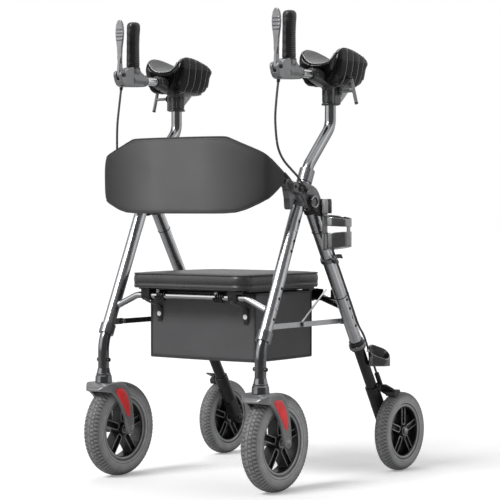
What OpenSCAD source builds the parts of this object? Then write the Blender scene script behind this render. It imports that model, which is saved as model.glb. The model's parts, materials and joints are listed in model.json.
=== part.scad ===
// Upright rollator walker with forearm troughs, seat, backrest band and basket.
// Front of the walker faces -Y, the user stands behind it at +Y, and +X is the user's left.
// The origin is on the ground, under the middle of the walker.

/* [Frame] */
// Distance from the middle of the walker to each leg
leg_x = 250; // [244:1:256]
// Height at which the front and rear leg axes meet
apex_z = 750.5; // [745:0.5:756]
// Place along the walker at which the leg axes meet
apex_y = -128.6; // [-134:0.1:-122]
// Lean of the front legs
front_rake = 24.4; // [23.5:0.1:25.5]
// Lean of the rear legs
rear_rake = 31.4; // [30.5:0.1:32.4]
// Outer diameter of the fixed leg tubes
tube_d = 32; // [31.4:0.2:33]
// Outer diameter of the sliding tubes
slide_d = 28.6; // [27.6:0.1:28.8]
// Height of the lower end of the front leg tubes
front_leg_low = 374; // [370:1:380]
// Height of the upper end of the front leg tubes
front_leg_top = 790; // [786:1:794]
// Height of the lower end of the rear leg tubes
rear_leg_low = 333; // [328:1:340]
// Height of the upper end of the rear leg tubes
rear_leg_top = 699; // [690:1:702]
// Distance between adjustment holes along a tube
hole_pitch = 27; // [25:1:30]
// Diameter of the adjustment holes
hole_d = 6; // [4:0.5:7]
// Wall of the plastic collars at the tube ends
collar_wall = 3.6; // [2.5:0.1:4]
// Fold pivot, along the walker and above the ground
pivot = [-128, 712];
// Diameter of the fold pivot pins
pivot_d = 12; // [8:1:14]

/* [Casters] */
// Outer diameter of the front wheels
front_wheel_d = 244; // [236:2:250]
// Width of the front tyres
front_tyre_w = 48; // [40:1:50]
// Outer diameter of the front rims
front_rim_d = 162; // [150:2:170]
// Distance the front axle trails behind its stem
caster_trail = 61; // [56:1:66]
// Bend radius of the curved front lower legs
lower_bend_r = 100; // [90:1:110]
// Diameter of the caster housings
housing_d = 44; // [42:1:48]
// Height of the lower face of the caster housings
housing_z = 248; // [246:1:254]
// Diameter of the caster stems
stem_d = 12; // [10:1:14]
// Width of the forks over their arms
fork_w = 84; // [80:1:90]
// Thickness of a fork arm
fork_arm_t = 10; // [8:1:11]

/* [Rear wheels] */
// Outer diameter of the rear wheels
rear_wheel_d = 208; // [200:2:214]
// Width of the rear tyres
rear_tyre_w = 38; // [32:1:40]
// Outer diameter of the rear rims
rear_rim_d = 148; // [138:2:154]
// Distance of each rear wheel outboard of its leg
rear_wheel_out = 41; // [41:1:46]
// Diameter of the wheel axles
axle_d = 10; // [8:1:12]

/* [Arm supports] */
// Place of the upright part of the handle posts along the walker
post_y = -6; // [-10:1:0]
// Height of the lower bend of the handle posts
post_bend_low = 805; // [803:1:808]
// Lean of the slanted middle of the handle posts
post_slant = 44.4; // [42:0.2:47]
// Bend radius of the handle posts
post_bend_r = 50; // [45:1:56]
// Height of the arm tubes
arm_z = 1033; // [1030:1:1036]
// Diameter of the arm tubes
arm_tube_d = 22; // [20:0.5:23]
// Length of the forearm pads
pad_len = 161; // [150:1:170]
// Place of the vertical grips along the walker
grip_y = -190; // [-195:1:-185]
// Top of the vertical grips
grip_top = 1185; // [1170:1:1190]

/* [Seat and bars] */
// Height of the front seat bar
front_bar_z = 474; // [472:1:476]
// Place of the front seat bar along the walker
front_bar_y = -264; // [-267:1:-262]
// Height of the rear seat bar
rear_bar_z = 465; // [463:1:467]
// Place of the rear seat bar along the walker
rear_bar_y = 66; // [64:1:68]
// Diameter of both seat bars
bar_d = 17; // [15:0.5:18]
// Half width of the seat pad
seat_half_w = 186; // [170:1:188]
// Front edge of the seat pad
seat_front = -290; // [-292:1:-264]
// Rear edge of the seat pad
seat_rear = 62; // [30:1:64]
// Lower face of the seat pad
seat_z = 493; // [493:0.5:495]
// Thickness of the seat pad at its crown
seat_t = 42; // [36:1:46]
// Corner radius of the seat pad
seat_corner = 38; // [30:1:45]

/* [Braces] */
// Front brace pin along the walker
brace_front_y = -258; // [-262:1:-250]
// Middle brace pin
brace_mid = [-98, 404];
// Rear brace pin
brace_rear = [70, 404.5];
// Height of the flat brace bars
brace_h = 13; // [11:1:14]
// Thickness of the flat brace bars
brace_t = 3.4; // [2.6:0.2:3.4]
// Diameter of the brace pins
brace_pin_d = 6; // [5:0.5:7]

/* [Backrest and basket] */
// Thickness of the backrest band
band_t = 13; // [9:1:15]
// Half width of the basket
basket_half_w = 167; // [155:1:170]
// Front face of the basket
basket_front = -217; // [-222:1:-210]
// Rear face of the basket
basket_rear = 31; // [24:1:34]
// Lower face of the basket
basket_low = 313; // [300:1:320]
// Height at which the basket's soft skirt starts
basket_seam = 388; // [380:1:390]
// Upper edge of the basket
basket_top = 483; // [470:1:483]
// Thickness of the basket's walls
basket_wall = 3; // [2:0.5:4]

/* [Holders] */
// Outer diameter of the cup holder
cup_d = 74; // [68:1:76]
// Wall of the cup and cane holders
holder_wall = 2.6; // [2:0.2:3.2]
// Diameter of the brake cables
cable_d = 6; // [5:0.5:6]

/* [Fits] */
// Radial clearance of a pin or tube that slides or turns
fit = 0.06; // [0.04:0.01:0.09]
// Gap between faces that move past each other
face_gap = 0.4; // [0.3:0.1:0.6]
// Gap round soft pieces
soft_gap = 0.3; // [0.3:0.1:0.6]

/* [Hidden] */
$fn = 48;
left = 1;
right = -1;
front_wheel_r = front_wheel_d / 2;
rear_wheel_r = rear_wheel_d / 2;
tube_r = tube_d / 2;
slide_r = slide_d / 2;
bar_r = bar_d / 2;
cable_r = cable_d / 2;
axle_r = axle_d / 2;
collar_r = tube_r + collar_wall;
brace_front = [brace_front_y, front_leg_low + 30];

// Places along the leg axes
function front_y(z) = apex_y + (z - apex_z) * tan(front_rake);
function rear_y(z) = apex_y - (z - apex_z) * tan(rear_rake);
front_axis = [sin(front_rake), cos(front_rake)];
rear_axis = [-sin(rear_rake), cos(rear_rake)];

// The front lower leg bends from the leg's lean to upright below its collar
collar_lip = 2;
bend_top_z = front_leg_low - collar_lip - 1;
stem_y = front_y(bend_top_z) - lower_bend_r * (1 - cos(front_rake));
front_axle_y = stem_y + caster_trail;
rear_axle_y = rear_y(rear_wheel_r);
rear_wheel_x = leg_x + rear_wheel_out;

// Helpers for sides and planes
module side_of(side) {
    if (side > 0) children();
    else mirror([1, 0, 0]) children();
}

module both_sides() {
    children();
    mirror([1, 0, 0]) children();
}

module on_front_leg(z) translate([leg_x, front_y(z), z]) rotate([-front_rake, 0, 0]) children();
module on_rear_leg(z) translate([leg_x, rear_y(z), z]) rotate([rear_rake, 0, 0]) children();

// A round bar along X between two places
module bar_x(x0, x1, y, z, r) translate([x0, y, z]) rotate([0, 90, 0]) cylinder(r = r, h = x1 - x0);

// A round bar along Y between two places
module bar_y(x, y0, y1, z, r) translate([x, y1, z]) rotate([90, 0, 0]) cylinder(r = r, h = y1 - y0);

// A plate across X whose outline is drawn as (y, z)
module plate_x(x0, x1) translate([x0, 0, 0]) rotate([90, 0, 90]) linear_extrude(x1 - x0) children();

// A plate across Y whose outline is drawn as (x, z)
module plate_y(y0, y1) translate([0, y1, 0]) rotate([90, 0, 0]) linear_extrude(y1 - y0) children();

module box(low, high) translate(low) cube(high - low);

// Round tubes bent in one plane
function unit(v) = v / norm(v);
function turn_of(a, b) = atan2(a.x * b.y - a.y * b.x, a * b);

// A bead thinner than the sliding fit closes the seam where a bend meets a straight run
seam_bead = 0.04;

module bent_tube(path, bend_r, r) {
    last = len(path) - 1;
    dirs = [for (i = [0:last - 1]) unit(path[i + 1] - path[i])];
    turns = [0, for (i = [1:last - 1]) turn_of(dirs[i - 1], dirs[i]), 0];
    trims = [for (t = turns) bend_r * tan(abs(t) / 2)];
    for (i = [0:last - 1]) {
        start = path[i] + dirs[i] * trims[i];
        length = norm(path[i + 1] - path[i]) - trims[i] - trims[i + 1];
        translate([0, start.x, start.y])
            rotate([-atan2(dirs[i].x, dirs[i].y), 0, 0])
                cylinder(r = r, h = length);
    }
    for (i = [1:last - 1]) {
        start = path[i] - dirs[i - 1] * trims[i];
        end = path[i] + dirs[i] * trims[i];
        for (seam = [start, end]) translate([0, seam.x, seam.y]) sphere(r = r + seam_bead);
        side = sign(turns[i]);
        centre = start + [-dirs[i - 1].y, dirs[i - 1].x] * bend_r * side;
        spoke = start - centre;
        first = atan2(spoke.y, spoke.x) + (side < 0 ? turns[i] : 0);
        translate([0, centre.x, centre.y])
            rotate([90, 0, 90])
                rotate([0, 0, first])
                    rotate_extrude(angle = abs(turns[i]))
                        translate([bend_r, 0]) circle(r = r);
    }
}

// Smooth paths and tubes swept along them
function spline(p, i, t) =
    let (a = p[max(i - 1, 0)], b = p[i], c = p[i + 1], d = p[min(i + 2, len(p) - 1)])
    0.5 * (2 * b + (c - a) * t + (2 * a - 5 * b + 4 * c - d) * t * t + (3 * b - a - 3 * c + d) * t * t * t);
function smooth(p, steps) = concat(
    [for (i = [0:len(p) - 2]) for (k = [0:steps - 1]) spline(p, i, k / steps)], [p[len(p) - 1]]);
function tangent(p, i) = unit(p[min(i + 1, len(p) - 1)] - p[max(i - 1, 0)]);

// Rings joined into one closed skin
module skin(rings) {
    n = len(rings[0]);
    m = len(rings);
    points = [for (ring = rings) each ring];
    walls = [for (i = [0:m - 2]) for (k = [0:n - 1])
        let (a = i * n + k, b = i * n + (k + 1) % n, c = b + n, d = a + n)
        each [[a, b, c], [a, c, d]]];
    first = [for (k = [n - 1:-1:0]) k];
    end = [for (k = [0:n - 1]) (m - 1) * n + k];
    polyhedron(points = points, faces = concat(walls, [first, end]), convexity = 6);
}

module swept_tube(path, r, sides) {
    skin([for (i = [0:len(path) - 1])
        let (t = tangent(path, i), u = unit(cross([0, 0, 1], cross(t, [0, 0, 1])) == [0, 0, 0]
            ? [1, 0, 0] : cross(t, [1, 0, 0])), v = cross(u, t))
        [for (k = [0:sides - 1]) path[i] - r * (u * cos(360 * k / sides) + v * sin(360 * k / sides))]]);
}

// Front frame
front_hole_tops = [664, 499.6];
rear_hole_top = 461.4;
hole_count = 4;
leg_bore_r = slide_r + fit;

module leg_holes(length_down) {
    for (i = [0:hole_count - 1])
        translate([0, 0, -i * hole_pitch])
            rotate([0, 90, 0]) cylinder(d = hole_d, h = length_down);
}

brace_x = leg_x - tube_r - 2;
lug_t = 4;
lug_r = 8;

module brace_lug(pin, leg_y, inner_x) {
    plate_x(inner_x, inner_x + lug_t) {
        translate(pin) circle(r = lug_r);
        polygon([[pin.x, pin.y - lug_r], [leg_y, pin.y - lug_r], [leg_y, pin.y + lug_r], [pin.x, pin.y + lug_r]]);
    }
}

// Brace bars lie flat inside the legs: the rear bars against the lugs, the front bars inside them
rear_link_x = brace_x - brace_t;
front_link_x = rear_link_x - face_gap - brace_t;
front_pin_head_x = front_link_x - 2;

module front_leg(side) {
    color("silver") side_of(side) difference() {
        union() {
            on_front_leg(front_leg_low) cylinder(r = tube_r, h = (front_leg_top - front_leg_low) / cos(front_rake));
            difference() {
                union() {
                    brace_lug(brace_front, front_y(brace_front.y) + 2, brace_x - 0.5);
                    bar_x(front_link_x - face_gap, brace_x, brace_front.x, brace_front.y, brace_pin_d / 2);
                    bar_x(front_pin_head_x - 1, front_link_x - face_gap, brace_front.x, brace_front.y, brace_pin_d / 2 + 2);
                }
            }
        }
        on_front_leg(front_leg_low - 10) cylinder(r = leg_bore_r, h = (front_leg_top - front_leg_low) / cos(front_rake) + 20);
        for (top = front_hole_tops) on_front_leg(top) leg_holes(tube_r + 2);
    }
}

front_collar_h = 26;
top_collar_h = 34;

module tube_collar(h) {
    difference() {
        cylinder(r = collar_r, h = h);
        translate([0, 0, collar_lip]) cylinder(r = tube_r, h = h);
        translate([0, 0, -1]) cylinder(r = slide_r + face_gap, h = h);
    }
}

module front_collars() {
    color("dimgray") both_sides() {
        on_front_leg(front_leg_low) translate([0, 0, -collar_lip]) tube_collar(front_collar_h);
        on_front_leg(front_leg_top) translate([0, 0, collar_lip]) mirror([0, 0, 1]) tube_collar(top_collar_h);
    }
}

// Fold bracket at the top of each side
bracket_x = leg_x + tube_r + 1;
bracket_t = 8;
hinge_x = bracket_x + bracket_t + face_gap;
hinge_t = 8;
bracket_wall = 4.5;
boss_r = 18;
bolt_at = [-174, 744];
gland_at = [-151.5, 735.5];
gland_r = 7;
bolt_r = 4;

module bracket_outline() {
    difference() {
        union() {
            polygon([
                [-206, 758], [-202, 762], [-150, 758], [-118, 752.5], [-104, 746], [-94, 736],
                [-85, 722], [-84, 714], [-112, 706], [-144, 702], [-160, 722], [-172, 731], [-204, 738]
            ]);
            translate(pivot) circle(r = boss_r);
        }
        translate(pivot) circle(d = pivot_d);
        translate(bolt_at) circle(r = bolt_r);
    }
}

module top_bracket(side) {
    color([0.28, 0.29, 0.3]) side_of(side) difference() {
        union() {
            on_front_leg(front_leg_top - 90) cylinder(r = tube_r + bracket_wall, h = 62);
            plate_x(bracket_x, bracket_x + bracket_t) bracket_outline();
            plate_x(leg_x + 4, bracket_x)
                polygon([[-170, 722], [-158, 712], [-132, 702], [-112, 708], [-100, 730], [-118, 752], [-160, 756], [-178, 748]]);
            backrest_socket();
            bar_x(bracket_x + bracket_t - 1, bracket_x + bracket_t + 8.5, gland_at.x, gland_at.y, gland_r);
        }
        on_front_leg(front_leg_top - 110) cylinder(r = tube_r, h = 110);
        bar_x(leg_x, hinge_x, pivot.x, pivot.y, pivot_d / 2);
        bar_x(leg_x, hinge_x, bolt_at.x, bolt_at.y, bolt_r);
        backrest_arm();
    }
}

// Socket in front of the bracket that takes the backrest arm, with a finger pointing down the leg
socket_x = [leg_x - 6, leg_x + 12];

module backrest_socket() {
    plate_x(socket_x[0], socket_x[1]) {
        polygon([[-221, 756], [-218, 767], [-208, 770], [-196, 766], [-170, 758], [-160, 730], [-178, 718], [-186, 722],
            [-208, 740]]);
        polygon([[-212, 742], [-196, 736], [-184, 720], [-189, 700], [-192, 694.5], [-198, 693], [-203, 696.5], [-204, 703],
            [-206, 722]]);
    }
    plate_x(socket_x[1] - 0.5, bracket_x + 1)
        polygon([[-205, 758], [-178, 758], [-172, 738], [-204, 738]]);
}

module frame_bolts() {
    color("silver") both_sides() {
        bar_x(leg_x + 12, hinge_x + hinge_t + face_gap, pivot.x, pivot.y, pivot_d / 2);
        difference() {
            bar_x(hinge_x + hinge_t + face_gap, hinge_x + hinge_t + 4, pivot.x, pivot.y, boss_r - 4);
            bar_x(hinge_x + hinge_t + 2, hinge_x + hinge_t + 5, pivot.x, pivot.y, boss_r - 8);
        }
        bar_x(leg_x + 16, bracket_x + bracket_t, bolt_at.x, bolt_at.y, bolt_r);
        bar_x(bracket_x + bracket_t, bracket_x + bracket_t + 4, bolt_at.x, bolt_at.y, bolt_r + 3);
    }
}

// Seat bars with their ends bent down to the legs
bar_straight = 174;
bar_bend_r = 36;
front_bar_end_z = 440;
rear_bar_end_z = 438;

module seat_bar_path(y, z, end_z, bend_at) {
    translate([0, y, 0]) rotate([0, 0, -90])
        bent_tube([[-leg_x, end_z], [-bend_at, z], [bend_at, z], [leg_x, end_z]], bar_bend_r, bar_r);
}

module front_seat_bar() {
    color("silver") difference() {
        seat_bar_path(front_bar_y, front_bar_z, front_bar_end_z, bar_straight);
        both_sides() on_front_leg(front_leg_low) cylinder(r = tube_r, h = 200);
    }
}

// Backrest band: plan and height at each station of the left half
band_half = [
    [0, -318, 684, 873], [55, -317.2, 684, 873], [105, -314.5, 684, 872.8], [138, -311.5, 684.2, 872.3],
    [152, -310, 684.8, 870.5], [174, -307.6, 686.5, 862], [200, -304, 693, 851.5], [226, -299.8, 703.5, 841],
    [243, -296.5, 711, 833.5], [251.5, -292.5, 716, 828], [256, -285, 720, 822], [258, -272, 728, 814],
    [258.4, -256, 738, 804], [257.6, -240, 748, 795], [256.6, -229, 755, 789], [256, -223, 757.5, 786.5]
];
band_path = concat(
    [for (i = [len(band_half) - 1:-1:1]) [-band_half[i][0], band_half[i][1], band_half[i][2], band_half[i][3]]],
    band_half);
band_faces = 6;
function band_normal(i) =
    let (a = band_path[max(i - 1, 0)], b = band_path[min(i + 1, len(band_path) - 1)],
        t = unit([b[0] - a[0], b[1] - a[1]]))
    [t.y, -t.x];
function band_fill(v) = 0.24 + 0.76 * pow(1 - pow(abs(v), 3), 0.6);

module backrest_band() {
    color([0.13, 0.13, 0.14]) skin([for (i = [0:len(band_path) - 1])
        let (s = band_path[i], n = band_normal(i), mid = (s[2] + s[3]) / 2, half = (s[3] - s[2]) / 2,
            ends = min(i, len(band_path) - 1 - i), t = band_t / 2 * (ends == 0 ? 0.5 : ends < 3 ? 0.8 : 1))
        concat(
            [for (k = [-band_faces:band_faces]) let (v = k / band_faces)
                [s[0] + n.x * t * band_fill(v), s[1] + n.y * t * band_fill(v), mid + half * v]],
            [for (k = [band_faces:-1:-band_faces]) let (v = k / band_faces)
                [s[0] - n.x * t * band_fill(v), s[1] - n.y * t * band_fill(v), mid + half * v]])]);
}

module backrest_arms() {
    color([0.1, 0.1, 0.1]) both_sides() backrest_arm();
}

module backrest_arm() {
    plate_x(leg_x + 3, leg_x + 9)
        polygon([[-223 + soft_gap, 760], [-223 + soft_gap, 784], [-218, 785], [-196, 771], [-186, 762], [-190, 752],
            [-212, 752]]);
}

// Torsion springs wound round the front seat bar
spring_x = [79, -107.8];
spring_turns = 4;
spring_pitch = 7.2;
spring_wire = 4;
spring_r = bar_r + 0.6 + spring_wire / 2;
function spring_point(x0, turn) = [x0 + turn * spring_pitch, front_bar_y - spring_r * cos(360 * turn),
    front_bar_z - spring_r * sin(360 * turn)];

module seat_springs() {
    echo("least gap between spring turns", spring_pitch - spring_wire);
    color([0.1, 0.1, 0.1]) for (x0 = spring_x) {
        path = [for (i = [0:spring_turns * 8]) spring_point(x0, i / 8)];
        skin([for (i = [0:len(path) - 1])
            let (t = tangent(path, i), u = unit(cross([1, 0, 0], t)), v = cross(t, u))
            [for (k = [0:5]) path[i] + spring_wire / 2 * (u * cos(60 * k) + v * sin(60 * k))]]);
    }
}

// Basket: a firm tub below and a soft skirt above that crumples as the frame folds
strap_x = [-124.5, -110.5, 110.5, 124.5];

module basket_tub() {
    color([0.2, 0.2, 0.2]) {
        difference() {
            box([-basket_half_w, basket_front, basket_low], [basket_half_w, basket_rear, basket_seam]);
            box([-basket_half_w + basket_wall, basket_front + basket_wall, basket_low + basket_wall],
                [basket_half_w - basket_wall, basket_rear - basket_wall, basket_seam + 1]);
        }
        box([-basket_half_w, basket_front, basket_seam], [basket_half_w, basket_front + basket_wall, basket_top]);
        for (i = [0, 2]) {
            flap_mid = (strap_x[i] + strap_x[i + 1]) / 2;
            plate_x(strap_x[i], strap_x[i + 1]) difference() {
                union() {
                    translate([front_bar_y, front_bar_z]) circle(r = bar_r + 3);
                    polygon([[front_bar_y + 4, front_bar_z - 11], [basket_front - 3, 436], [basket_front - 3, 416],
                        [basket_front, 416], [basket_front, 442], [front_bar_y + 11, front_bar_z - 4]]);
                }
                translate([front_bar_y, front_bar_z]) circle(r = bar_r);
            }
            bar_y(flap_mid, basket_front - 5, basket_front - 3, 425, 5);
        }
    }
}

module basket_skirt() {
    color([0.2, 0.2, 0.2]) difference() {
        box([-basket_half_w, basket_front + basket_wall, basket_seam], [basket_half_w, basket_rear, basket_top]);
        box([-basket_half_w + basket_wall, basket_front, basket_seam - 1],
            [basket_half_w - basket_wall, basket_rear - basket_wall, basket_top + 1]);
    }
}

// Brake cables held between the lever housings and the brackets, and down the rear legs
upper_route = [
    [251, -236, 1012], [251, -245, 961], [252, -251, 914], [255, -249, 863], [259, -243, 834],
    [265, -230, 811], [271, -210, 792], [276, -190, 775], [279.4, -172, 756], [279.6, -158.5, 743.5]
];
lower_side = [12.5, 15];
function leg_route(z, out) = [leg_x + lower_side.x * out, rear_y(z) + lower_side.y * out / cos(rear_rake), z];
guide_out = 1.24;
lower_route = [
    leg_route(683, 1), leg_route(640, 1), leg_route(600, 1), leg_route(560, 1), leg_route(500, 1), leg_route(440, 1),
    leg_route(395, 1), leg_route(366, guide_out), leg_route(340, guide_out), leg_route(300, guide_out),
    leg_route(260, guide_out), leg_route(238, guide_out)
];

module upper_cables() {
    color([0.2, 0.2, 0.2]) both_sides() swept_tube(smooth(upper_route, 2), cable_r, 8);
}

module lower_cables() {
    color([0.2, 0.2, 0.2]) both_sides() swept_tube(smooth(lower_route, 2), cable_r, 8);
}

// Seat
function corner_point(w, front, rear, r, a) = [
    (cos(a) >= 0 ? w - r : r - w) + r * cos(a),
    (sin(a) >= 0 ? rear - r : front + r) + r * sin(a)
];
function seat_ring(inset, z, steps) = [for (k = [0:4 * steps - 1])
    let (quarter = floor(k / steps), a = 90 * quarter + 90 * (k % steps) / (steps - 1),
        b = min(max(a, 90 * quarter + 0.001), 90 * quarter + 89.999),
        p = corner_point(seat_half_w - inset, seat_front + inset, seat_rear - inset, max(seat_corner - inset, 2), b))
    [p.x, p.y, z]];
seat_profile = [
    [8, 0], [2.5, 1.5], [0.6, 5], [0, 10], [1.8, 13], [0.2, 16], [0, 24], [0.6, 31], [2.5, 35.5], [7, 38.4],
    [16, 40], [40, 41.2], [90, 41.8], [130, 42]
];

module seat_pad() {
    color([0.12, 0.12, 0.13])
        skin([for (p = seat_profile) seat_ring(p[0], seat_z + p[1] * seat_t / 42, 9)]);
}

board_t = 4.5;
board_half_w = 176;
board_front = -256;
board_rear = 30;
saddle_w = 26;
saddle_x = [-151.5, 125.5];
saddle_wall = 4.5;

module seat_board() {
    color([0.1, 0.1, 0.1]) difference() {
        union() {
            box([-board_half_w, board_front, seat_z - board_t], [board_half_w, board_rear, seat_z]);
            for (x = saddle_x) {
                plate_x(x, x + saddle_w) {
                    translate([front_bar_y, front_bar_z]) circle(r = bar_r + saddle_wall);
                    polygon([[front_bar_y - 13, front_bar_z], [front_bar_y - 13, seat_z], [front_bar_y + 18, seat_z],
                        [front_bar_y + 13, front_bar_z]]);
                }
            }
        }
        for (x = saddle_x) bar_x(x - 1, x + saddle_w + 1, front_bar_y, front_bar_z, bar_r + fit);
    }
}

// Braces
module link_outline(a, b) {
    d = unit(b - a);
    n = [-d.y, d.x] * brace_h / 2;
    translate(a) circle(r = brace_h / 2);
    translate(b) circle(r = brace_h / 2);
    polygon([a + n, b + n, b - n, a - n]);
}

module brace_front_links() {
    color("gray") both_sides() difference() {
        union() {
            plate_x(front_link_x, front_link_x + brace_t) link_outline(brace_front, brace_mid);
            bar_x(front_link_x - 6.4, rear_link_x + brace_t + face_gap, brace_mid.x, brace_mid.y, brace_pin_d / 2);
            bar_x(rear_link_x + brace_t + face_gap, rear_link_x + brace_t + 2, brace_mid.x, brace_mid.y, brace_pin_d / 2 + 1.6);
        }
        bar_x(front_link_x - 1, front_link_x + brace_t + 1, brace_front.x, brace_front.y, brace_pin_d / 2 + fit);
    }
}

module brace_rear_links() {
    color("gray") both_sides() {
        difference() {
            plate_x(rear_link_x, rear_link_x + brace_t) link_outline(brace_mid, brace_rear);
            bar_x(rear_link_x - 1, rear_link_x + brace_t + 1, brace_mid.x, brace_mid.y, brace_pin_d / 2 + fit);
        }
        bar_x(rear_link_x - 3, rear_link_x, brace_rear.x, brace_rear.y, brace_pin_d / 2 + 2);
    }
}

// Thin rods from the middle brace pins up over the rear seat bar, where a notched plate guides them
rod_r = 2.5;
rod_x = front_link_x - 4.2;
rod_foot = [rod_x, brace_mid.x, brace_mid.y];
rod_top = [192.5, 61, 485];

module rod_between(a, b, r, from) {
    d = b - a;
    translate(a) rotate([0, acos(d.z / norm(d)), atan2(d.y, d.x)]) translate([0, 0, from]) cylinder(r = r, h = norm(d) - from);
}

module fold_rods() {
    color("lightgray") both_sides() difference() {
        union() {
            plate_x(rod_x - 1.8, rod_x + 1.8) translate(brace_mid) circle(r = brace_pin_d / 2 + 3);
            rod_between(rod_foot, rod_top, rod_r, 4.6);
        }
        bar_x(rod_x - 3, rod_x + 3, brace_mid.x, brace_mid.y, brace_pin_d / 2 + fit);
    }
}

// Rear frame
module rear_leg(side) {
    color("silver") side_of(side) difference() {
        union() {
            on_rear_leg(rear_leg_low) cylinder(r = tube_r, h = (rear_leg_top - rear_leg_low) / cos(rear_rake));
            brace_lug(brace_rear, rear_y(brace_rear.y), brace_x + face_gap);
        }
        on_rear_leg(rear_leg_low - 10) cylinder(r = leg_bore_r, h = (rear_leg_top - rear_leg_low) / cos(rear_rake) + 20);
        on_rear_leg(rear_hole_top) leg_holes(tube_r + 2);
    }
}

module rear_collars() {
    color([0.15, 0.15, 0.15]) both_sides() on_rear_leg(rear_leg_low) translate([0, 0, -collar_lip]) tube_collar(24);
}

module hinge_blocks() {
    color([0.12, 0.12, 0.12]) both_sides() difference() {
        union() {
            on_rear_leg(rear_leg_top - 11) cylinder(r = collar_r, h = 15);
            plate_x(hinge_x, hinge_x + hinge_t) {
                translate(pivot) circle(r = boss_r);
                polygon([[-142, 700], [-118, 682], [-96, 676], [-66, 682], [-62, 700], [-66, 718], [-92, 720], [-112, 721]]);
            }
            plate_x(leg_x + 8, hinge_x) polygon([[-95, 702], [-106, 697], [-104, 684], [-72, 684], [-70, 702]]);
        }
        bar_x(hinge_x - 1, hinge_x + hinge_t + 1, pivot.x, pivot.y, pivot_d / 2 + fit);
        on_rear_leg(rear_leg_top - 60) cylinder(r = tube_r, h = 110);
    }
}

tab_top = seat_z - board_t - soft_gap;
rear_plate_y = rear_bar_y - bar_r - 0.1;
rod_notch_x = rod_foot.x + (rod_top.x - rod_foot.x) * (rear_plate_y - rod_foot.y) / (rod_top.y - rod_foot.y);

module rear_seat_bar() {
    color("dimgray") {
        difference() {
            seat_bar_path(rear_bar_y, rear_bar_z, rear_bar_end_z, bar_straight);
            both_sides() on_rear_leg(rear_leg_low) cylinder(r = tube_r, h = 200);
        }
        both_sides() {
            plate_y(rear_plate_y - 4, rear_plate_y) difference() {
                polygon([[150, rear_bar_z - 2], [150, tab_top], [230, tab_top - 3], [233, tab_top - 8], [233, rear_bar_z - 6],
                    [214, rear_bar_z - 4], [180, rear_bar_z - 2]]);
                translate([rod_notch_x - 6.5, rear_bar_z + 1.2]) square([25, 40]);
            }
            box([150, board_rear - 18, tab_top - 4], [172, rear_plate_y - 2, tab_top]);
        }
    }
}

// Cup holder hung on the left hinge block
cup_at = [hinge_x + hinge_t + 1 + cup_d / 2, -83.6];
cup_low = 590;
cup_top = 681;
cup_slope = 11;
cup_x = [cup_at.x - cup_d / 2, cup_at.x + cup_d / 2];
mount_x = hinge_x + hinge_t;

module cup_side() {
    polygon([[cup_x[0] - 1, cup_low], [cup_x[1] + 1, cup_low + cup_slope], [cup_x[1] + 1, cup_top - cup_slope],
        [cup_x[0] - 1, cup_top]]);
}

// The holder is a ring over a cup, joined by a strut on its outer side and one at its back
module cup_windows() {
    intersection() {
        plate_y(cup_at.y - cup_d, cup_at.y + cup_d)
            polygon([[cup_x[0] - 1, cup_top - 26], [cup_x[1] + 1, cup_top - 31], [cup_x[1] + 1, cup_top - 42],
                [cup_x[0] - 1, cup_top - 50]]);
        difference() {
            translate([cup_at.x, cup_at.y, cup_low]) cylinder(r = cup_d, h = cup_d * 2);
            box([cup_x[0] - cup_d, cup_at.y - 9, cup_low - 1], [cup_at.x - 10, cup_at.y + 9, cup_top + cup_d]);
            box([cup_at.x + 10, cup_at.y - 7, cup_low - 1], [cup_x[1] + cup_d, cup_at.y + 7, cup_top + cup_d]);
        }
    }
}

module cup_holder() {
    color([0.3, 0.3, 0.3]) {
        difference() {
            intersection() {
                translate([cup_at.x, cup_at.y, cup_low - 1]) cylinder(d = cup_d, h = cup_top - cup_low + 2);
                plate_y(cup_at.y - cup_d, cup_at.y + cup_d) cup_side();
            }
            intersection() {
                translate([cup_at.x, cup_at.y, cup_low - 1]) cylinder(d = cup_d - 2 * holder_wall, h = 2 * cup_d);
                translate([0, 0, holder_wall]) plate_y(cup_at.y - cup_d, cup_at.y + cup_d)
                    polygon([[cup_x[0] - 1, cup_low], [cup_x[1] + 1, cup_low + cup_slope], [cup_x[1] + 1, cup_top + 30],
                        [cup_x[0] - 1, cup_top + 30]]);
            }
            cup_windows();
        }
        box([mount_x, cup_at.y - 9, cup_low + 3], [mount_x + 3.4, cup_at.y + 9, cup_top + 19]);
        box([mount_x, cup_at.y - 11.4, cup_top + 3], [mount_x + 9, cup_at.y + 19.6, cup_top + 38]);
    }
}

// Cane clip on the left rear leg, and the cup for the cane's tip at the collar
cane_r = 11;
clip_z = 562;
cane_cup_z = 335;
band_r = collar_r + 3;

module cable_pass(out) {
    translate([lower_side.x * out, lower_side.y * out, -60]) cylinder(r = cable_r + 0.8, h = 120);
}

module cane_holder() {
    color([0.2, 0.2, 0.2]) {
        on_rear_leg(clip_z) difference() {
            union() {
                cylinder(r = tube_r + 4, h = 12);
                translate([tube_r + cane_r, 2, 0]) cylinder(r = cane_r + 4, h = 12);
            }
            translate([0, 0, -1]) cylinder(r = tube_r, h = 14);
            translate([tube_r + cane_r, 2, -1]) cylinder(r = cane_r, h = 14);
            translate([tube_r + cane_r, -cane_r + 3, -1]) cube([30, 2 * cane_r - 2, 14]);
            cable_pass(1);
        }
        on_rear_leg(cane_cup_z) difference() {
            cylinder(r = collar_r + 3, h = 11);
            translate([0, 0, -1]) cylinder(r = collar_r, h = 13);
            cable_pass(guide_out);
        }
        cane_cup();
    }
}

cane_cup_at = [leg_x + 39, 166];
cane_cup_low = 284;
cane_cup_turn = 36;
cane_cup_r = 20;
cane_cup_half = 9;
cane_rim_z = 321;
cane_rim_slope = 37;
cane_rim_turn = -25;

module cane_cup_outline(inset) {
    for (s = [-1, 1]) translate([s * cane_cup_half, 0]) circle(r = cane_cup_r - inset);
    square([2 * cane_cup_half, 2 * (cane_cup_r - inset)], center = true);
}

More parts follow.
